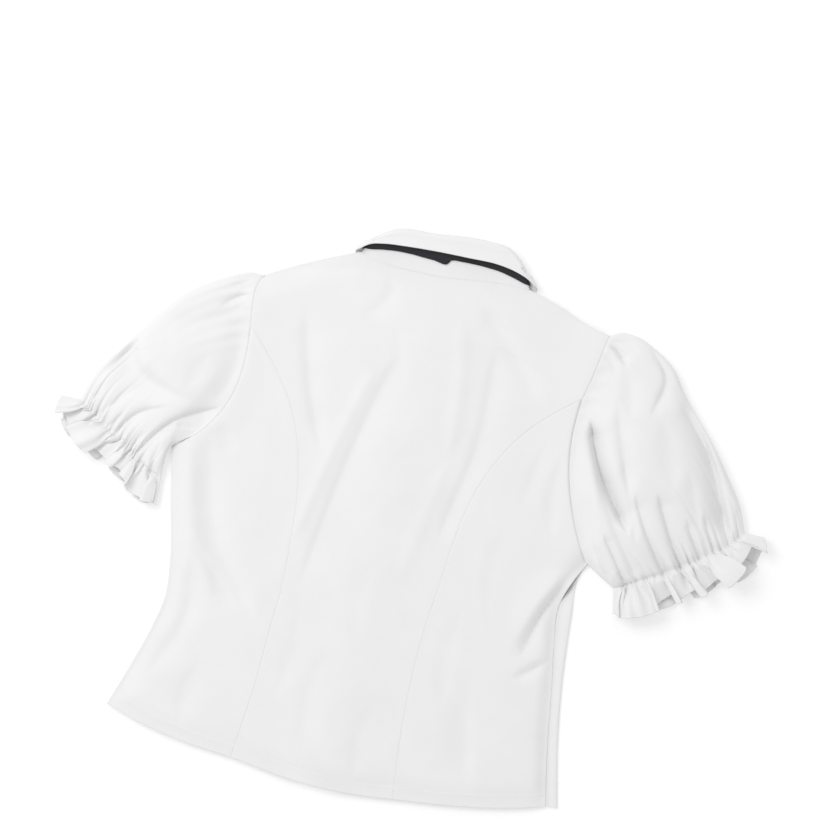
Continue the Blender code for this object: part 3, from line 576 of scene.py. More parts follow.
def back_form(x, y, rows):
    """The laid back: level, lower at its edges, and higher by the armholes and over the band."""
    edge = np.min([distance(x, y, points) for points in LOW_EDGES], axis=0)
    armhole = np.min([distance(x, y, points) for points in ARMHOLES], axis=0)
    rim = np.min([edge] + [distance(x, y, points) for points in (NECK_SEAM, HEM_LINE)], axis=0)
    height = BACK_HEIGHT - EDGE_DROP * np.exp(-edge / EDGE_REACH) + LOFT * smooth(rim / LOFT_REACH)
    height = height + ARMHOLE_RISE * np.exp(-((armhole / ARMHOLE_REACH) ** 2))
    over_band = smooth((BAND_TOP_Y - y) / BAND_TOP_REACH)
    height = height + BAND_RISE * np.exp(-((x / BAND_REACH) ** 2)) * over_band
    height = height - creases(x, y, rows)
    neck = smooth((distance(x, y, NECK_LINE) - NECK_RISE_START) / NECK_RISE_REACH)
    return np.maximum(height, LOWEST_BACK + NECK_ROOM + NECK_LIFT * (1 - neck))


def back_height(x, y):
    """The back's form with its seams' grooves and puckers, its hem and a slow unevenness."""
    height = back_form(x, y, BACK_CREASES)
    strip = np.exp(-((distance(x, y, SIDE_SEAM) / STRIP_REACH) ** 2))
    over = np.exp(-(((y - OVERHANG_Y) / OVERHANG_REACH) ** 2))
    height = height * (1 - strip) + (STRIP_HEIGHT + OVERHANG_RISE * over) * strip
    short_x, long_y, short_y, long_x = SLOW_LENGTHS
    first = np.sin(x / short_x + 1.7 * np.sin(y / long_y))
    second = np.sin(y / short_y + 0.9 * np.sin(x / long_x))
    height = height + SLOW_HEIGHT * first * second
    seams = [*PRINCESS_SEAMS, *ARMHOLES, SIDE_SEAM]
    away = np.min([distance(x, y, points) for points in seams], axis=0)
    height = height - SEAM_DIP * np.exp(-((away / SEAM_WIDTH) ** 2))
    ripple = np.sin(y / PUCKER_LENGTH + 2.1 * np.sin(y / PUCKER_DRIFT) + x / 5)
    fade = np.exp(-away / PUCKER_REACH) * smooth(away / PUCKER_START)
    height = height + PUCKER * ripple * fade
    hem = distance(x, y, HEM_LINE)
    return height + HEM_STEP * smooth((HEM_WIDTH - hem) / HEM_STEP_WIDTH)


def neck_floor(x, y):
    """How far the collar's leaf lifts the front's outer face."""
    return NECK_LIFT * (1 - smooth(distance(x, y, NECK_LINE) / NECK_LIFT_REACH))


def fine_shares(count, width):
    """Even shares across a width, with more of them close to both edges."""
    close = np.array(CLOSE_TO_EDGE) / width
    return np.unique(np.concatenate([np.linspace(0, 1, count), close, 1 - close]).round(6))


def row_shares(count):
    """Rows down a panel below the armhole, closer at the hem's stitched edge."""
    even = np.linspace(0, 1, count) ** ROW_CROWDING
    stitched = 1 - np.linspace(*STITCHED_EDGE)
    return np.unique(np.concatenate([even, stitched, LAST_ROWS]).round(6))


def with_height(plan, height):
    """Points of a plan with their heights as z."""
    return np.concatenate([plan, np.asarray(height)[..., None]], axis=-1)


def place(points):
    """Points of the drawing, in the frame and in metres."""
    return (np.asarray(points, float) - [CENTRE_X, CENTRE_Y, 0.0]) * MM


def mesh_from(name, points, faces, corner_uv=None):
    """A mesh object at the origin from placed points, faces and a UV for each face corner."""
    mesh = bpy.data.meshes.new(name)
    corners = faces.reshape(-1, faces.shape[-1])
    mesh.from_pydata(points.reshape(-1, 3).tolist(), [], corners.tolist())
    if corner_uv is not None:
        layer = mesh.uv_layers.new(name="Cloth")
        layer.data.foreach_set("uv", corner_uv.reshape(-1).astype(np.float32))
    mesh.shade_smooth()
    made = bpy.data.objects.new(name, mesh)
    bpy.context.scene.collection.objects.link(made)
    return made


def shell(name, points, look, nodes, thickness, outward=1, closed=False):
    """A cloth shell on a grid of its outer points. Its UV is in metres of cloth."""
    rows, columns = points.shape[:2]
    across = np.arange(columns + int(closed))
    index = np.arange(rows)[:, None] * columns + across[None] % columns
    wide = np.linalg.norm(np.diff(points, axis=1), axis=2).sum(axis=1).mean() * MM
    tall = np.linalg.norm(np.diff(points, axis=0), axis=2).sum(axis=0).mean() * MM
    u, v = np.meshgrid(across / (len(across) - 1) * wide, np.arange(rows) / (rows - 1) * tall)

    def corners(grid):
        four = [grid[:-1, :-1], grid[1:, :-1], grid[1:, 1:], grid[:-1, 1:]]
        return np.stack(four, axis=-1)[..., ::outward]

    corner_uv = np.stack([corners(u), corners(v)], axis=-1)
    made = mesh_from(name, place(points), corners(index), corner_uv)
    made.data.materials.append(look)
    wall = made.modifiers.new("Cloth", "SOLIDIFY")
    wall.thickness = thickness
    wall.offset = -1.0
    wall.use_even_offset = False
    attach(made, "root")
    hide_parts(*nodes)
    return made


def white_piece(name, points, node, layers=1, outward=1, closed=False):
    """A shell of one or two layers of the white cloth, in place of one solid."""
    thickness = bpy.context.scene.blouse_cloth.thickness * layers
    return shell(name, points, white_cloth(), [node], thickness, outward, closed)


class ClothLooks(bpy.types.PropertyGroup):
    colour: FloatVectorProperty(
        name="Cloth colour", description="Colour of the white cloth", subtype="COLOR", size=3,
        min=0.0, max=1.0, default=(0.80, 0.80, 0.805),
    )
    roughness: FloatProperty(
        name="Cloth roughness", description="How matt the cloth is",
        min=0.0, max=1.0, default=0.82,
    )
    thickness: FloatProperty(
        name="Cloth thickness", description="Thickness of one layer of cloth", unit="LENGTH",
        min=0.0002, max=0.001, default=0.0005,
    )
    weave_pitch: FloatProperty(
        name="Weave pitch", description="Distance between threads of the weave", unit="LENGTH",
        min=0.0002, max=0.002, default=0.00055,
    )


class RibbonLooks(bpy.types.PropertyGroup):
    colour: FloatVectorProperty(
        name="Ribbon colour", description="Colour of the neck ribbon", subtype="COLOR", size=3,
        min=0.0, max=1.0, default=(0.012, 0.012, 0.015),
    )
    roughness: FloatProperty(
        name="Ribbon roughness", description="How matt the ribbon is",
        min=0.0, max=1.0, default=0.45,
    )


class ButtonLooks(bpy.types.PropertyGroup):
    colour: FloatVectorProperty(
        name="Button colour", description="Colour of the buttons", subtype="COLOR", size=3,
        min=0.0, max=1.0, default=(0.78, 0.77, 0.74),
    )


class StageLooks(bpy.types.PropertyGroup):
    floor_glow: FloatProperty(
        name="Floor glow", description="Light that the white floor gives off by itself",
        min=0.0, max=2.0, default=0.38,
    )
    key_power: FloatProperty(
        name="Key light", description="Power of the large soft light", min=0.0, default=27.0,
    )
    fill: FloatProperty(
        name="Fill light", description="Strength of the even light from all round",
        min=0.0, default=0.82,
    )
    picture_width: FloatProperty(
        name="Picture width", description="Width of the floor that the picture shows",
        unit="LENGTH", min=0.1, default=0.823,
    )
    lens: FloatProperty(
        name="Lens", description="Focal length of the camera in millimetres",
        min=20.0, default=150.0,
    )


# Looks that the panel of the add-on leaves alone, in metres.
RIBBON_PITCH = 0.0009
ROUGHNESS_SPREAD = 0.06


def node_group(name, inputs, outputs):
    """An empty shader node group with named sockets, its input and its output node."""
    group = bpy.data.node_groups.new(name, "ShaderNodeTree")
    for label, kind, value in inputs:
        socket = group.interface.new_socket(label, in_out="INPUT", socket_type=kind)
        if value is not None:
            socket.default_value = value
    for label, kind in outputs:
        group.interface.new_socket(label, in_out="OUTPUT", socket_type=kind)
    return group, group.nodes.new("NodeGroupInput"), group.nodes.new("NodeGroupOutput")


def math_node(tree, operation, first, second=None):
    """A Math node, its inputs linked from sockets or set to numbers."""
    node = tree.nodes.new("ShaderNodeMath")
    node.operation = operation
    for socket, value in zip(node.inputs, (first, second)):
        if value is None:
            continue
        if isinstance(value, bpy.types.NodeSocket):
            tree.links.new(value, socket)
        else:
            socket.default_value = value
    return node.outputs[0]


def weave_group():
    """Plain weave: crossed sine ridges of the pitch, uneven threads and a slow unevenness."""
    found = bpy.data.node_groups.get("Plain weave")
    if found:
        return found
    group, given, result = node_group(
        "Plain weave",
        [("Vector", "NodeSocketVector", None), ("Pitch", "NodeSocketFloat", 0.00055),
         ("Unevenness", "NodeSocketFloat", 0.4)],
        [("Height", "NodeSocketFloat"), ("Shade", "NodeSocketFloat")],
    )
    parts = group.nodes.new("ShaderNodeSeparateXYZ")
    group.links.new(given.outputs["Vector"], parts.inputs[0])
    turn = math_node(group, "DIVIDE", 6.283185, given.outputs["Pitch"])
    warp = math_node(group, "SINE", math_node(group, "MULTIPLY", parts.outputs[0], turn))
    weft = math_node(group, "SINE", math_node(group, "MULTIPLY", parts.outputs[1], turn))
    crossed = math_node(group, "MULTIPLY", warp, weft)
    slub = group.nodes.new("ShaderNodeTexNoise")
    slub.inputs["Scale"].default_value = 420.0
    slub.inputs["Detail"].default_value = 3.0
    group.links.new(given.outputs["Vector"], slub.inputs["Vector"])
    uneven = math_node(group, "MULTIPLY", slub.outputs["Fac"], given.outputs["Unevenness"])
    height = math_node(group, "ADD", math_node(group, "MULTIPLY", crossed, 0.5), uneven)
    group.links.new(height, result.inputs["Height"])
    slow = group.nodes.new("ShaderNodeTexNoise")
    slow.inputs["Scale"].default_value = 28.0
    slow.inputs["Detail"].default_value = 4.0
    group.links.new(given.outputs["Vector"], slow.inputs["Vector"])
    group.links.new(slow.outputs["Fac"], result.inputs["Shade"])
    return group


def new_material(name):
    """A material with its tree, its shader and links."""
    made = bpy.data.materials.new(name)
    made.use_nodes = True
    tree = made.node_tree
    return made, tree, tree.nodes["Principled BSDF"]


def ramp_between(tree, factor, low, high):
    """A colour that runs from low to high as the factor runs over the middle of its range."""
    mix = tree.nodes.new("ShaderNodeValToRGB")
    mix.color_ramp.elements[0].position = 0.3
    mix.color_ramp.elements[1].position = 0.7
    mix.color_ramp.elements[0].color = (*low, 1.0)
    mix.color_ramp.elements[1].color = (*high, 1.0)
    tree.links.new(factor, mix.inputs["Fac"])
    return mix.outputs["Color"]


def woven(tree, shader, pitch, colour, tints, strength, depth):
    """Give a shader the weave's tint and its bump, and return the weave's node."""
    where = tree.nodes.new("ShaderNodeUVMap")
    where.uv_map = "Cloth"
    weave = tree.nodes.new("ShaderNodeGroup")
    weave.node_tree = weave_group()
    weave.inputs["Pitch"].default_value = pitch
    tree.links.new(where.outputs["UV"], weave.inputs["Vector"])
    low, high = (tuple(np.array(colour) * share) for share in tints)
    tint = ramp_between(tree, weave.outputs["Shade"], low, high)
    tree.links.new(tint, shader.inputs["Base Color"])
    bump = tree.nodes.new("ShaderNodeBump")
    bump.inputs["Strength"].default_value = strength
    bump.inputs["Distance"].default_value = depth
    tree.links.new(weave.outputs["Height"], bump.inputs["Height"])
    tree.links.new(bump.outputs["Normal"], shader.inputs["Normal"])
    return weave


def white_cloth():
    """Fine matt white poplin, its weave and soft unevenness raised by bump."""
    found = bpy.data.materials.get("White cloth")
    if found:
        return found
    looks = bpy.context.scene.blouse_cloth
    made, tree, shader = new_material("White cloth")
    weave = woven(tree, shader, looks.weave_pitch, looks.colour, (0.985, 1.01), 0.25, 0.00012)
    rough = tree.nodes.new("ShaderNodeMapRange")
    rough.inputs["To Min"].default_value = looks.roughness - ROUGHNESS_SPREAD
    rough.inputs["To Max"].default_value = looks.roughness + ROUGHNESS_SPREAD
    tree.links.new(weave.outputs["Shade"], rough.inputs["Value"])
    tree.links.new(rough.outputs["Result"], shader.inputs["Roughness"])
    shader.inputs["Specular IOR Level"].default_value = 0.25
    shader.inputs["Sheen Weight"].default_value = 0.12
    shader.inputs["Sheen Roughness"].default_value = 0.5
    return made


def black_ribbon():
    """Black satin ribbon with fine ribs along it."""
    found = bpy.data.materials.get("Black ribbon")
    if found:
        return found
    looks = bpy.context.scene.blouse_ribbon
    made, tree, shader = new_material("Black ribbon")
    woven(tree, shader, RIBBON_PITCH, looks.colour, (0.8, 1.5), 0.3, 0.00015)
    shader.inputs["Roughness"].default_value = looks.roughness
    shader.inputs["Specular IOR Level"].default_value = 0.3
    return made


def back_plan(p, tall):
    """The centre back between the neck and shoulders, the hem and both princess seams."""
    left = chain(ARMHOLE_LEFT_UPPER, PRINCESS_LEFT, BACK_SPLIT, tall)
    right = chain(ARMHOLE_RIGHT_UPPER, PRINCESS_RIGHT, BACK_SPLIT, tall)
    along = np.abs(p - 0.5) * 2
    inner = line(NECK_BACK, np.clip(0.5 + (p - 0.5) / NECK_SHARE, 0, 1))
    outer = np.clip((along - NECK_SHARE) / (1 - NECK_SHARE), 0, 1)
    on_left = (p < 0.5)[:, None]
    shoulder = np.where(on_left, line(SHOULDER_LEFT, outer), line(SHOULDER_RIGHT, outer))
    top = np.where((along <= NECK_SHARE)[:, None], inner, shoulder)
    return patch(top, line(HEM_CENTRE, p), left, right, p, tall)


def on_back(plan):
    """Points of a plan laid on the back."""
    return with_height(plan, back_height(plan[..., 0], plan[..., 1]))


class BLOUSE_OT_back(bpy.types.Operator):
    """Lay the three panels of the back, joined at the princess seams"""

    bl_idname = "blouse.back"
    bl_label = "Back"

    def execute(self, context):
        rows = row_shares(150)
        upper = fine_shares(22, 110.0)
        tall = np.concatenate([BACK_SPLIT * upper[:-1], BACK_SPLIT + (1 - BACK_SPLIT) * rows])
        p = fine_shares(105, 240.0)
        plan = back_plan(p, tall)
        piece = white_piece("Centre_back", on_back(plan), "back_centre")

        q = fine_shares(52, 115.0)
        top = line(ARMHOLE_LEFT_LOWER, 1 - q)
        side = line(SIDE_LEFT, rows)
        plan = patch(top, line(HEM_LEFT, q), side, line(PRINCESS_LEFT, rows), q, rows)
        piece = white_piece("Side_back_left", on_back(plan), "back_side_left")

        top = line(ARMHOLE_RIGHT_LOWER, q)
        top = top - UNDERARM_SHIFT * smooth(1 - (1 - q[:, None]) / UNDERARM_SHARE)
        left = line(PRINCESS_RIGHT, rows)
        plan = patch(top, line(HEM_RIGHT, q), left, line(SIDE_SEAM_RIGHT, rows), q, rows)
        piece = white_piece("Side_back_right", on_back(plan), "back_side_right")
        return {"FINISHED"}


# Corners and columns of the fronts, from the outer edge to the flap or the band: x.
LEFT_PANEL_X = (-222.0, -30.0)
RIGHT_PANEL_X = (28.0, 237.6)
FLAP_X = (-24.0, -20.0, -18.6, -17.6, -16.0, -10.0, -3.0, 4.0, 9.4, 10.0)
FLAP_STEP_X = -19.0
FLAP_STEP_WIDTH = 2.0
LEFT_SHOULDER_SHARE = 0.42
RIGHT_NECK_SHARE = 0.58
PANEL_GAP = 0.1
EDGE_ROOM = 0.9
EDGE_TURN = 1.6
TURN_COLUMNS = 12
TURN_ANGLES = (-75, 80)
TURN_SHARE = 0.6
LEAST_TURN_RADIUS = 1.1


def neck_y(x):
    """The front neckline's y at x, near the middle of the front."""
    low = NECK_LINE[NECK_LINE[:, 1] < -50]
    return np.interp(x, low[:, 0], low[:, 1])


def hem_y(x):
    """The hem's y at x."""
    return np.interp(x, HEM_LINE[:, 0], HEM_LINE[:, 1])


def column(x, q):
    """A front panel's line of points down from the neckline to the hem."""
    top = neck_y(x) - FRONT_NECK_GAP
    return np.stack([np.full(len(q), x), top + q * (hem_y(x) - top)], axis=1)


def hem_between(x0, x1, p):
    """Points of the hem at the shares p of the way from x0 to x1."""
    x = x0 + (x1 - x0) * p
    return np.stack([x, hem_y(x)], axis=1)


def edge_rise(x, y, points):
    """Near a sewn edge the front turns up to meet the back."""
    away = distance(x, y, points)
    return (back_form(x, y, ()) - EDGE_ROOM) * np.exp(-((away / EDGE_TURN) ** 2))


def flat_column(x, q, height):
    """A front panel's column at one height."""
    return with_height(column(x, q), np.full(len(q), height))


class BLOUSE_OT_fronts(bpy.types.Operator):
    """Lay the two fronts and the button band below the back"""

    bl_idname = "blouse.fronts"
    bl_label = "Fronts and band"

    def execute(self, context):
        lower = FRONT_SPLIT + (1 - FRONT_SPLIT) * row_shares(60)
        q = np.concatenate([np.linspace(0, FRONT_SPLIT, 60)[:-1], lower])
        p = fine_shares(60, 190.0)
        neck = NECK_LINE[NECK_LINE[:, 0] < -32]
        corner, end = LEFT_PANEL_X
        neck = np.concatenate([neck, [[end, neck_y(end)]]])
        top = moved(chain(SHOULDER_LEFT[::-1], neck, LEFT_SHOULDER_SHARE, p), -FRONT_NECK_GAP)
        outer = chain(ARMHOLE_LEFT, SIDE_LEFT, FRONT_SPLIT, q)
        hem = hem_between(corner, end, p)
        plan = patch(top, hem, moved(outer, PANEL_GAP), column(end, q), p, q)
        plan = np.concatenate([plan] + [column(x, q)[:, None] for x in FLAP_X], axis=1)
        x = plan[..., 0]
        y = plan[..., 1]
        over_band = BAND_HEIGHT + WALL + LAYER_GAP
        step = smooth((x - FLAP_STEP_X) / FLAP_STEP_WIDTH)
        height = neck_floor(x, y) * (1 - step) + over_band * step
        height = height + edge_rise(x, y, outer) * (1 - step)
        height = height + edge_rise(x, y, LOW_EDGES[0]) * (1 - step) * 0.6
        points = with_height(plan, height)
        piece = white_piece("Left_front", points, "front_left", outward=-1)

        start = BAND_HALF_WIDTH + PANEL_GAP
        side = chain(ARMHOLE_RIGHT, SIDE_RIGHT, FRONT_SPLIT, q)
        at_side = q > FRONT_SPLIT
        seam_x = np.interp(-side[:, 1], -SIDE_SEAM[:, 1], SIDE_SEAM[:, 0])
        room = side[:, 0] - seam_x - TURNED_GAP
        radius = np.clip(TURN_SHARE * room, LEAST_TURN_RADIUS, TURN_RADIUS)
        right = moved(side, -PANEL_GAP)
        right[at_side] = side[at_side]
        right[at_side, 0] -= radius[at_side]
        neck = NECK_LINE[NECK_LINE[:, 0] > 30]
        begin, corner = RIGHT_PANEL_X
        neck = np.concatenate([[[begin, neck_y(begin)]], neck])
        close = np.concatenate([p[:-1], np.linspace(p[-2], 1, TURN_COLUMNS + 1)[1:]])
        plans = []
        for shares in (p, close):
            top = moved(chain(neck, SHOULDER_RIGHT, RIGHT_NECK_SHARE, shares), -FRONT_NECK_GAP)
            hem = hem_between(begin, corner, shares)
            plans.append(patch(top, hem, column(begin, q), right, shares, q))
        flat, armhole = plans
        over = np.exp(-(((side[:, 1] - OVERHANG_Y) / OVERHANG_REACH) ** 2))
        strip_height = STRIP_HEIGHT - OVERHANG_DROP * over
        panel = with_height(flat, neck_floor(flat[..., 0], flat[..., 1]))
        turn = []
        for angle in np.linspace(*TURN_ANGLES, TURN_COLUMNS - 2):
            a = np.radians(angle)
            turn_x = side[:, 0] - radius * (1 - np.cos(a))
            turn.append(np.stack([turn_x, side[:, 1], strip_height / 2 * (1 + np.sin(a))], axis=1))
        turn.append(np.stack([seam_x + 0.05, side[:, 1], strip_height], axis=1))
        panel = np.concatenate([panel, np.stack(turn, axis=1)], axis=1)
        x, y = armhole[..., 0], armhole[..., 1]
        rise = neck_floor(x, y) + edge_rise(x, y, side)
        panel[~at_side] = with_height(armhole, rise)[~at_side]
        inner = flat_column(start, q, BAND_HEIGHT)[:, None]
        mid = flat_column(start + 3.0, q, BAND_HEIGHT)[:, None]
        points = np.concatenate([inner, mid, panel], axis=1)
        piece = white_piece("Right_front", points, "front_right", outward=-1)

        q = np.linspace(0, 1, 120)
        x = np.linspace(-BAND_HALF_WIDTH, BAND_HALF_WIDTH, 14)
        points = np.stack([flat_column(each, q, BAND_HEIGHT) for each in x], axis=1)
        piece = white_piece("Button_band", points, "front_placket", layers=2, outward=-1)
        return {"FINISHED"}


def gathers(uneven, along, rows):
    """Narrow valleys round the tube at the elastic, from rows of count, depth, reach and phase.

    A valley is a bell of the sine of half its count times the way round. Its depth fades
    back into the puff over a reach that differs from valley to valley, and soon past it.
    """
    total = 0.0
    for count, depth, reach, offset in rows:
        valley = np.exp(-((np.sin(count * uneven / 2 + offset) / VALLEY_WIDTH) ** 2))
        turns = np.sin(7 * uneven + 3 * offset) * np.sin(4 * uneven + offset)
        length = reach * (0.62 + 0.38 * turns)
        back = np.exp(-((np.maximum(1 - along, 0) / length) ** 1.6))
        past = np.exp(-((np.maximum(along - 1, 0) / PAST_REACH) ** 2))
        total = total + depth * back * past * (valley - 0.3)
    return total


def sleeve_grid(
    over_arm, under_arm, armhole, elastic, ruffle_edge, rows, ruffle_rows, puff, slow, seed
):
    """A puff sleeve as a flattened tube from the armhole to the ruffle's edge.

    Across, s runs from the over-arm to the under-arm edge and back below. The upper side is
    a dome of the section's crown over s, less the creases, and the lower side lies on the
    surface. Past the elastic each wave of the ruffle's table is a fold: it rises and falls
    with the cosine of its phase and swings sideways with the sine of twice the phase, so
    that its flanks hang over.
    """
    turn_top = np.arange(TOP_COLUMNS) / TOP_COLUMNS
    turn_under = np.arange(UNDER_COLUMNS) / UNDER_COLUMNS
    turn = np.concatenate([turn_top, 1 - turn_under])
    number = np.concatenate([turn_top * TOP_SHARE, TOP_SHARE + turn_under * (1 - TOP_SHARE)])
    is_top = np.arange(len(turn)) < len(turn_top)
    s = (1 - np.cos(np.pi * turn)) / 2
    phase = 2 * np.pi * number + 0.05 * np.sin(6 * np.pi * number)
    uneven = phase + 0.08 * np.sin(3 * phase + seed) + 0.05 * np.sin(5 * phase + 2 * seed)
    table = np.array(SLEEVE_SECTIONS)
    t = np.unique(np.concatenate([np.linspace(*part) for part in SLEEVE_ROWS]).round(5))
    crown, fold, cap, gather, wave = (c[:, None] for c in curve(table[:, 0], table[:, 1:], t).T)
    a = t[:, None]
    along = np.minimum(t, 1)[:, None, None]
    ruffle = (np.maximum(t - 1, 0) / RUFFLE_SHARE)[:, None, None]
    seam = line(armhole, s)
    cuff = line(elastic, s)
    edge = line(ruffle_edge, s)
    outer = line(over_arm, np.minimum(t, 1))[:, None]
    inner = line(under_arm, np.minimum(t, 1))[:, None]
    s2 = s[None, :, None]
    first = (1 - s2) * np.array(over_arm[0]) + s2 * np.array(under_arm[0])
    last = (1 - s2) * np.array(over_arm[-1]) + s2 * np.array(under_arm[-1])
    plan = (1 - along) * (seam - first) + along * (cuff - last) + (1 - s2) * outer + s2 * inner
    ends = smooth(np.minimum(s, 1 - s) * 14)[:, None]
    reach = edge - cuff
    forward = reach / np.linalg.norm(reach, axis=1, keepdims=True)
    sideways = np.stack([forward[:, 1], -forward[:, 0]], axis=1)
    sideways *= np.sign((sideways * (edge[len(turn_top) - 1] - edge[0])).sum())

    waves = np.array(ruffle_rows)
    on_top = np.stack([np.interp(s, waves[:, 0], column) for column in waves.T[1:]], axis=1)
    last_phase = waves[-1, 1]
    plain = np.stack([last_phase * s, np.zeros(len(s)), np.zeros(len(s))], axis=1)
    swing, further, lift = np.where(is_top[:, None], on_top, plain).T
    swing = swing * np.pi
    rate = np.gradient(swing, s + 1e-9 * np.arange(len(s)))
    straight = np.linalg.norm(edge[len(turn_top) - 1] - edge[0])
    span = straight / np.maximum(np.abs(rate), LEAST_RATE) * 2 * np.pi
    side_swing = np.minimum(WAVE_WIDTH * span, WAVE_LIMIT) * np.sin(2 * swing)
    rise = np.minimum(WAVE_HEIGHT * span, WAVE_LIMIT) * np.cos(swing)
    lobe = RUFFLE_LOBE * np.cos(swing) + further
    grown = smooth(ruffle * 1.6)
    plan = plan + ruffle * (reach + (lobe[:, None] * ends) * forward * grown)
    plan = plan + grown * side_swing[:, None] * sideways * ends
    small = 0.9 * np.sin(19 * uneven + seed) + 0.6 * np.sin(37 * uneven + 2.1)
    plan = plan + smooth(ruffle * 4) * small[:, None] * sideways * ends

    width = np.linalg.norm(outer - inner, axis=2)
    near = np.minimum(s, 1 - s)[None] * width / FOLD_RADIUS
    dome = ((4 * s * (1 - s)) ** 0.4)[None]
    fillet = np.sqrt(np.clip(1 - (1 - np.clip(near, 0, 1)) ** 2, 0, 1))
    x = plan[..., 0]
    y = plan[..., 1]
    away = np.clip(near, 0, 1)
    upper = fold + (crown * puff - fold) * dome
    start = np.maximum(back_form(x[:1], y[:1], BACK_CREASES), 2 * fold[:1])
    close = np.clip(np.minimum(s, 1 - s)[None] * width[:1] / 2.5, 0, 1)
    start = fold[:1] + (start - fold[:1]) * np.sqrt(1 - (1 - close) ** 2)
    soon = RISE_REACH + slow * smooth((s - 0.45) / 0.5)
    tucked = TUCK_DROP * np.exp(-((a / TUCK_REACH) ** 2))
    upper = start + (upper - start) * smooth(a / soon) ** 0.8 - tucked
    upper = np.maximum(upper - creases(x, y, rows) * away * smooth(a * 14), 2.5 * away)
    pleats = np.cos(2 * np.pi * CAP_GATHERS * s / CAP_SHARE + 1.9 * np.sin(7 * s + seed))
    pleats = pleats * smooth((0.5 - s) * 5)
    inside = smooth(np.minimum(s, 1 - s) * 7)
    folded = inside * gathers(uneven, a, GATHER_ROWS)
    pinch = PINCH * np.exp(-(((a - 1.0) / PINCH_REACH) ** 2))
    crumple = np.sin(29 * uneven + 9 * a + 1.1) + np.sin(17 * uneven - 14 * a + seed)
    crumple = crumple + np.sin(47 * uneven)
    fluted = wave * (rise + lift * ends[:, 0]) + smooth(ruffle[..., 0] * 4) * CRUMPLE * crumple
    fine = cap * pleats + gather * 0.4 * np.cos(CUFF_GATHERS * phase)
    upper = upper + (fine - folded + fluted - pinch) * away
    lower = fold * (1 - fillet) + away * 0.5 * gather * (1 + np.cos(CUFF_GATHERS * phase))
    lower = lower + away * (0.4 * wave * (rise + np.abs(rise)) + 0.4 * np.abs(folded))
    height = np.where(is_top, upper, np.maximum(lower, 0.0))
    return with_height(plan, np.maximum(height, 0.0))


class BLOUSE_OT_sleeves(bpy.types.Operator):
    """Lay both puff sleeves, each a gathered tube that ends in a ruffle past its elastic"""

    bl_idname = "blouse.sleeves"
    bl_label = "Puff sleeves"

    def execute(self, context):
        armhole = moved(ARMHOLE_LEFT, TUCK)[ARMHOLE_LEFT[:, 1] > LEFT_ARMHOLE_END_Y]
        points = sleeve_grid(
            OVER_ARM_LEFT, UNDER_ARM_LEFT, armhole, ELASTIC_LEFT, RUFFLE_EDGE_LEFT,
            LEFT_CREASES, LEFT_RUFFLE, *LEFT_PUFF,
        )
        SLEEVE_POINTS["Left"] = points
        piece = white_piece("Left_sleeve", points, "sleeve_left", closed=True)
        armhole = moved(ARMHOLE_RIGHT, -TUCK)
        points = sleeve_grid(
            OVER_ARM_RIGHT, UNDER_ARM_RIGHT, armhole, ELASTIC_RIGHT, RUFFLE_EDGE_RIGHT,
            RIGHT_CREASES, RIGHT_RUFFLE, *RIGHT_PUFF,
        )
        SLEEVE_POINTS["Right"] = points
        piece = white_piece("Right_sleeve", points, "sleeve_right", outward=-1, closed=True)
        return {"FINISHED"}


def ring_shares(back_count, front_count):
    """Shares along the collar's ring: left front, back and right front."""
    left = (1 - np.cos(np.pi * np.linspace(RING_FRONT, 0, front_count)[:-1])) / 2
    back = (1 - np.cos(np.pi * np.linspace(0, 1, back_count))) / 2
    right = (1 - np.cos(np.pi * np.linspace(1, 1 - RING_FRONT, front_count)[1:])) / 2
    shares = np.concatenate([left, back, right])
    at_back = np.zeros(len(shares), bool)
    at_back[len(left):len(left) + len(back)] = True
    return shares, at_back


def ring(back_rows, front_rows, shares, at_back):
    """The collar's ring of points, from a line round the back and one round the front."""
    return np.where(at_back[:, None], line(back_rows, shares), line(front_rows, shares))


def ring_height(shares, at_back, high, low):
    """Height round the ring: low in front, high at the back, and rounded at the sides."""
    turned = np.minimum(shares, 1 - shares) * np.where(at_back, *SIDE_ROUNDING)
    rounded = np.sqrt(np.clip(1 - (1 - np.clip(turned, 0, 1)) ** 2, 0, 1))
    middle = (high + low) / 2
    above = middle + (high - middle) * rounded
    return np.where(at_back, above, middle - (middle - low) * rounded)


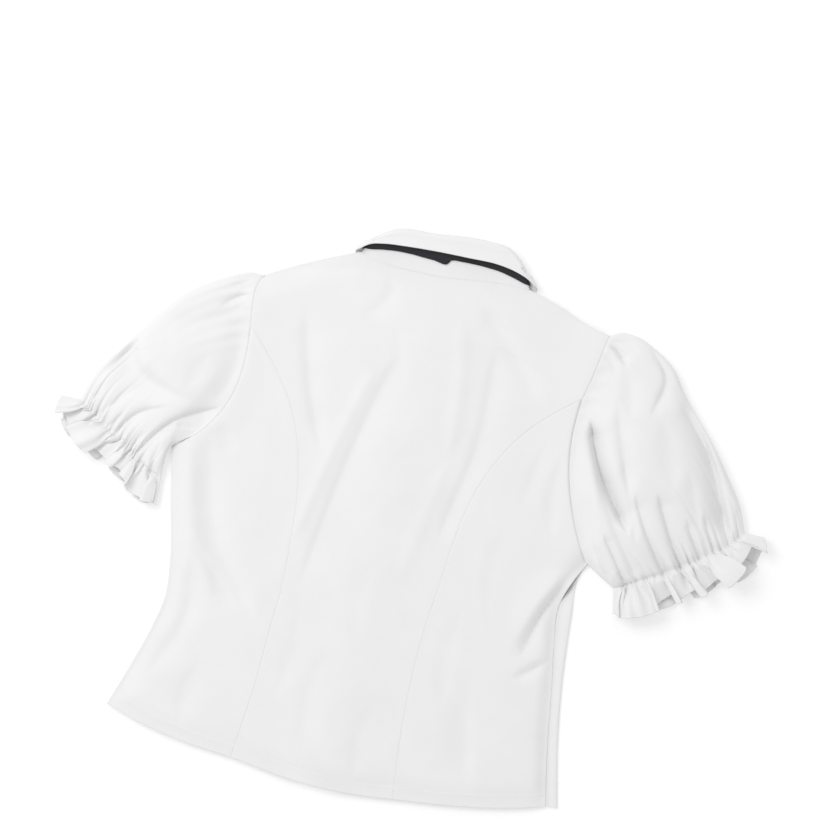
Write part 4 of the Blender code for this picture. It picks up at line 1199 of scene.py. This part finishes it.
class BLOUSE_OT_collar(bpy.types.Operator):
    """Stand the collar round the neckline, turn its leaf down over the black ribbon"""

    bl_idname = "blouse.collar"
    bl_label = "Collar and ribbon"

    def execute(self, context):
        shares, at_back = ring_shares(150, 60)
        neck = ring(NECK_BACK, NECK_FRONT, shares, at_back)
        roll = ring(ROLL_BACK, ROLL_FRONT, shares, at_back)
        edge = ring(LEAF_EDGE_BACK, LEAF_EDGE_FRONT, shares, at_back)
        up = (roll - neck) / np.linalg.norm(roll - neck, axis=1, keepdims=True)
        neck = neck - TUCK * up
        neck_high = back_form(neck[:, 0], neck[:, 1], BACK_CREASES)
        neck = with_height(neck, ring_height(shares, at_back, neck_high, NECK_LIFT))
        roll = with_height(roll, ring_height(shares, at_back, ROLL_HEIGHT, NECK_LIFT))
        stand = np.stack([neck + (roll - neck) * share for share in STAND_ROWS])
        stand[0, :, 2] -= np.where(at_back, TUCK_DROP, 0.0)
        piece = white_piece("Collar_stand", stand, "collar_stand", layers=2, outward=-1)

        tangent = np.gradient(roll, axis=0)
        outward = np.cross(tangent, roll - neck)
        outward /= np.linalg.norm(outward, axis=1, keepdims=True)
        lower = np.interp(shares, *np.array(RIBBON_LOWER).T)
        lower = np.where(at_back, lower, FRONT_RIBBON_LOWER)
        ribbon = []
        for share in np.linspace(0, 1, RIBBON_ROWS):
            down = RIBBON_UPPER + share * (lower - RIBBON_UPPER)
            ribbon.append(roll + (neck - roll) * down[:, None] + outward * (WALL + LAYER_GAP))
        ribbon = np.stack(ribbon)
        thick = context.scene.blouse_cloth.thickness * RIBBON_THICKNESS
        piece = shell("Neck_ribbon", ribbon, black_ribbon(), ["neck_ribbon"], thick)

        leaf_reach = np.linalg.norm(edge - roll[:, :2], axis=1)
        stand_reach = np.linalg.norm(roll[:, :2] - neck[:, :2], axis=1)
        down = np.clip(leaf_reach / stand_reach, 0, 1)
        edge_base = roll[:, 2] + (neck[:, 2] - roll[:, 2]) * down
        course = np.gradient(roll, axis=0)
        course /= np.linalg.norm(course, axis=1, keepdims=True)
        beyond = roll - neck
        beyond -= (beyond * course).sum(axis=1, keepdims=True) * course
        beyond /= np.linalg.norm(beyond, axis=1, keepdims=True)
        leaf = [roll + beyond * LEAF_START[0] + outward * LEAF_START[1]]
        for along, off_back, off_front in LEAF_SECTION:
            off = np.where(at_back, off_back, off_front) * (1.45 - 0.45 * np.abs(outward[:, 2]))
            off = off[:, None] * outward
            off[:, :2] *= 1 - along
            plan = roll[:, :2] * (1 - along) + edge * along
            leaf.append(with_height(plan, roll[:, 2] * (1 - along) + edge_base * along) + off)
        rows = np.stack(leaf)
        flat_rows = curve(LEAF_KNOTS, rows.reshape(len(rows), -1), np.linspace(0, 1, LEAF_ROWS))
        leaf = flat_rows.reshape(LEAF_ROWS, -1, 3)
        piece = white_piece("Collar_leaf", leaf, "collar_leaf", layers=2)
        return {"FINISHED"}


def pearl():
    """Pearly button plastic with slow swirls."""
    found = bpy.data.materials.get("Pearl button")
    if found:
        return found
    looks = bpy.context.scene.blouse_button
    made, tree, shader = new_material("Pearl button")
    where = tree.nodes.new("ShaderNodeTexCoord")
    swirl = tree.nodes.new("ShaderNodeTexNoise")
    swirl.inputs["Scale"].default_value = 260.0
    swirl.inputs["Distortion"].default_value = 2.0
    tree.links.new(where.outputs["Object"], swirl.inputs["Vector"])
    colour = np.array(looks.colour)
    tint = ramp_between(tree, swirl.outputs["Fac"], tuple(colour * 0.9), tuple(colour * 1.08))
    tree.links.new(tint, shader.inputs["Base Color"])
    shader.inputs["Roughness"].default_value = 0.28
    shader.inputs["Coat Weight"].default_value = 0.4
    return made


# A button's profile from its flat lower face, round the rim, to its upper face: radius, height.
BUTTON_PROFILE = (
    (2.6, 0.75), (3.5, 0.55), (4.1, 0.08), (4.7, 0), (5.2, 0.2), (5.5, 0.8), (5.5, 1.4), (5.1, 2),
    (4, 2.35),
)
BUTTON_SIDES = 40


class BLOUSE_OT_buttons(bpy.types.Operator):
    """Sew six buttons to the band"""

    bl_idname = "blouse.buttons"
    bl_label = "Buttons"

    def execute(self, context):
        look = pearl()
        profile = np.array(BUTTON_PROFILE)
        angle = np.linspace(0, 2 * np.pi, BUTTON_SIDES + 1)[:-1]
        for number in range(BUTTON_COUNT):
            y = BUTTON_FIRST_Y - number * BUTTON_PITCH
            ring_points = np.stack(
                [
                    profile[:, :1] * np.cos(angle),
                    y + profile[:, :1] * np.sin(angle),
                    np.broadcast_to(profile[:, 1:], (len(profile), BUTTON_SIDES)),
                ],
                axis=-1,
            )
            around = np.arange(BUTTON_SIDES + 1)[None] % BUTTON_SIDES
            index = np.arange(len(profile))[:, None] * BUTTON_SIDES + around
            four = [index[:-1, :-1], index[:-1, 1:], index[1:, 1:], index[1:, :-1]]
            faces = np.stack(four, axis=-1).reshape(-1, 4).tolist()
            faces.append(list(range(BUTTON_SIDES))[::-1])
            faces.append(index[-1, :-1].tolist())
            name = f"Button_{number + 1}"
            mesh = bpy.data.meshes.new(name)
            mesh.from_pydata(place(ring_points).reshape(-1, 3).tolist(), [], faces)
            mesh.materials.append(look)
            mesh.shade_smooth()
            made = bpy.data.objects.new(name, mesh)
            bpy.context.scene.collection.objects.link(made)
            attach(made, "root")
            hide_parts(f"button_{number + 1}")
        return {"FINISHED"}


# The stage, in metres. The picture's middle, up and right are directions in the frame.
FLOOR_SIZE = 8.0
FLOOR_Z = -0.0004
KEY_SIZE = (1.6, 1.2)
KEY_PLACE = Vector((-1.6, 0.8, 2.1))
PICTURE_MIDDLE = Vector((-0.0161, 0.1016, 0.0))
PICTURE_UP = Vector((-0.2419, 0.9703, 0.0))
PICTURE_RIGHT = Vector((0.9703, 0.2419, 0.0))
SENSOR_WIDTH = 36.0
WHITE = (1.0, 1.0, 1.0, 1.0)


class BLOUSE_OT_stage(bpy.types.Operator):
    """Set the pale floor, the soft light and the camera straight above"""

    bl_idname = "blouse.stage"
    bl_label = "Stage"

    def execute(self, context):
        looks = context.scene.blouse_stage
        scene = context.scene
        bpy.ops.mesh.primitive_plane_add(size=FLOOR_SIZE, location=(0, 0, FLOOR_Z))
        floor = context.object
        floor.name = "Floor"
        made, _, shader = new_material("Floor")
        shader.inputs["Base Color"].default_value = (0.62, 0.62, 0.62, 1.0)
        shader.inputs["Roughness"].default_value = 0.9
        shader.inputs["Specular IOR Level"].default_value = 0.1
        shader.inputs["Emission Color"].default_value = WHITE
        shader.inputs["Emission Strength"].default_value = looks.floor_glow
        floor.data.materials.append(made)

        world = bpy.data.worlds.new("Studio")
        world.use_nodes = True
        background = world.node_tree.nodes["Background"]
        background.inputs["Color"].default_value = WHITE
        background.inputs["Strength"].default_value = looks.fill
        scene.world = world

        key = bpy.data.lights.new("Key", "AREA")
        key.shape = "RECTANGLE"
        key.size, key.size_y = KEY_SIZE
        key.energy = looks.key_power
        light = bpy.data.objects.new("Key", key)
        light.location = KEY_PLACE
        light.rotation_mode = "QUATERNION"
        light.rotation_quaternion = (-KEY_PLACE).to_track_quat("-Z", "Y")
        scene.collection.objects.link(light)

        camera = bpy.data.cameras.new("Camera")
        camera.lens = looks.lens
        camera.sensor_width = SENSOR_WIDTH
        camera.clip_end = 60.0
        above = Vector((0.0, 0.0, looks.picture_width * looks.lens / SENSOR_WIDTH))
        eye = bpy.data.objects.new("Camera", camera)
        turn = Matrix((PICTURE_RIGHT, PICTURE_UP, above.normalized())).transposed()
        eye.matrix_world = Matrix.Translation(PICTURE_MIDDLE + above) @ turn.to_4x4()
        scene.collection.objects.link(eye)
        scene.camera = eye
        scene.view_settings.view_transform = "Standard"
        return {"FINISHED"}


def white_thread():
    """Smooth white sewing thread."""
    found = bpy.data.materials.get("White thread")
    if found:
        return found
    made, _, shader = new_material("White thread")
    shader.inputs["Base Color"].default_value = (0.78, 0.78, 0.785, 1.0)
    shader.inputs["Roughness"].default_value = 0.6
    return made


def stitches(name, lines, nodes, pitch=2.6, length=1.9, width=0.45, up=1):
    """Stitches along lines of points, joined in one mesh.

    Each is a four-sided roof: its two ends and sides lie on the line's surface, and its
    middle is raised by the thread's thickness, or lowered where `up` is -1.
    """
    rows = []
    for points in lines:
        run = np.concatenate([[0.0], np.cumsum(np.linalg.norm(np.diff(points, axis=0), axis=1))])
        middle = (np.arange(int(run[-1] // pitch)) + 0.5) * pitch
        first, centre, last = (
            np.stack([np.interp(middle + off, run, points[:, axis]) for axis in range(3)], axis=1)
            for off in (-length / 2, 0.0, length / 2)
        )
        course = last - first
        course /= np.maximum(np.linalg.norm(course, axis=1, keepdims=True), 1e-9)
        side = np.stack([-course[:, 1], course[:, 0], np.zeros(len(course))], axis=1) * width / 2
        top = centre + [0.0, 0.0, THREAD * up]
        rows.append(np.stack([first, centre - side, last, centre + side, top], axis=1))
    corners = np.concatenate(rows)
    roof = np.array(((0, 1, 4), (1, 2, 4), (2, 3, 4), (3, 0, 4)))[:, ::up]
    faces = np.arange(len(corners))[:, None, None] * 5 + roof
    made = mesh_from(name, place(corners), faces)
    made.data.materials.append(white_thread())
    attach(made, "root")
    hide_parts(*nodes)


class BLOUSE_OT_stitches(bpy.types.Operator):
    """Sew the hems, the elastics, the band's edges and the buttonholes"""

    bl_idname = "blouse.stitches"
    bl_label = "Stitches"

    def execute(self, context):
        shares = np.linspace(0.004, 0.996, 220)
        for name, rows, node in (
            ("Hem_stitches_left", HEM_LEFT, "back_side_left"),
            ("Hem_stitches_centre", HEM_CENTRE, "back_centre"),
            ("Hem_stitches_right", HEM_RIGHT, "back_side_right"),
        ):
            plan = moved(line(rows, shares), HEM_WIDTH - STITCH_INSET)
            stitches(name, [on_back(plan) + HEM_THREAD_LIFT], [node])

        for side, node in (("Left", "sleeve_left"), ("Right", "sleeve_right")):
            points = SLEEVE_POINTS[side]
            lines = [points[row, 4:TOP_COLUMNS - 4] + THREAD_LIFT for row in ELASTIC_ROWS]
            stitches(f"{side}_elastic_stitches", lines, [node], pitch=2.2, length=1.5, width=0.4)
            lines = [points[RUFFLE_HEM_ROW, 4:TOP_COLUMNS - 4] + THREAD_LIFT]
            stitches(f"{side}_ruffle_stitches", lines, [node], pitch=2.2, length=1.6, width=0.35)

        q = np.linspace(0.01, 0.99, 200)
        low = BAND_HEIGHT - 0.03
        inset = BAND_HALF_WIDTH - BAND_STITCH_INSET
        edges = [flat_column(x, q, low) for x in (-inset, inset)]
        band = ["front_placket"]
        stitches("Band_stitches", edges, band, up=-1)
        holes = []
        threads = []
        for number in range(BUTTON_COUNT):
            y = BUTTON_FIRST_Y - number * BUTTON_PITCH
            for x in (-THREAD_X, THREAD_X):
                for made, half, z in (
                    (holes, BUTTONHOLE_HALF, low),
                    (threads, THREAD_HALF, THREAD_Z),
                ):
                    made.append(np.array(((x, y - half, z), (x, y + half, z))))
        stitches("Buttonhole_stitches", holes, band, pitch=0.5, length=0.45, width=1.3, up=-1)
        buttons = [f"button_{number + 1}" for number in range(BUTTON_COUNT)]
        stitches("Button_threads", threads, buttons, pitch=2.5, length=2.4, width=0.5, up=-1)
        return {"FINISHED"}


class BLOUSE_PT_panel(bpy.types.Panel):
    """Buttons and sizes of the blouse"""

    bl_idname = "BLOUSE_PT_panel"
    bl_label = "Ruffle blouse"
    bl_space_type = "VIEW_3D"
    bl_region_type = "UI"
    bl_category = "Blouse"

    def draw(self, context):
        scene = context.scene
        for group in (getattr(scene, name) for name in GROUPS):
            for name in group.bl_rna.properties.keys():
                if name not in ("rna_type", "name"):
                    self.layout.prop(group, name)
        for operator in OPERATORS:
            self.layout.operator(operator.bl_idname)


OPERATORS = (
    BLOUSE_OT_stage,
    BLOUSE_OT_fronts,
    BLOUSE_OT_back,
    BLOUSE_OT_sleeves,
    BLOUSE_OT_collar,
    BLOUSE_OT_buttons,
    BLOUSE_OT_stitches,
)
GROUPS = {
    "blouse_cloth": ClothLooks,
    "blouse_ribbon": RibbonLooks,
    "blouse_button": ButtonLooks,
    "blouse_stage": StageLooks,
}


def register():
    for name, group in GROUPS.items():
        bpy.utils.register_class(group)
        setattr(bpy.types.Scene, name, PointerProperty(type=group))
    for operator in OPERATORS:
        bpy.utils.register_class(operator)
    bpy.utils.register_class(BLOUSE_PT_panel)


def unregister():
    bpy.utils.unregister_class(BLOUSE_PT_panel)
    for operator in reversed(OPERATORS):
        bpy.utils.unregister_class(operator)
    for name, group in reversed(list(GROUPS.items())):
        delattr(bpy.types.Scene, name)
        bpy.utils.unregister_class(group)


def main():
    register()
    bpy.ops.blouse.stage()
    bpy.ops.blouse.fronts()
    bpy.ops.blouse.back()
    bpy.ops.blouse.sleeves()
    bpy.ops.blouse.collar()
    bpy.ops.blouse.buttons()
    bpy.ops.blouse.stitches()


if __name__ == "__main__":
    main()
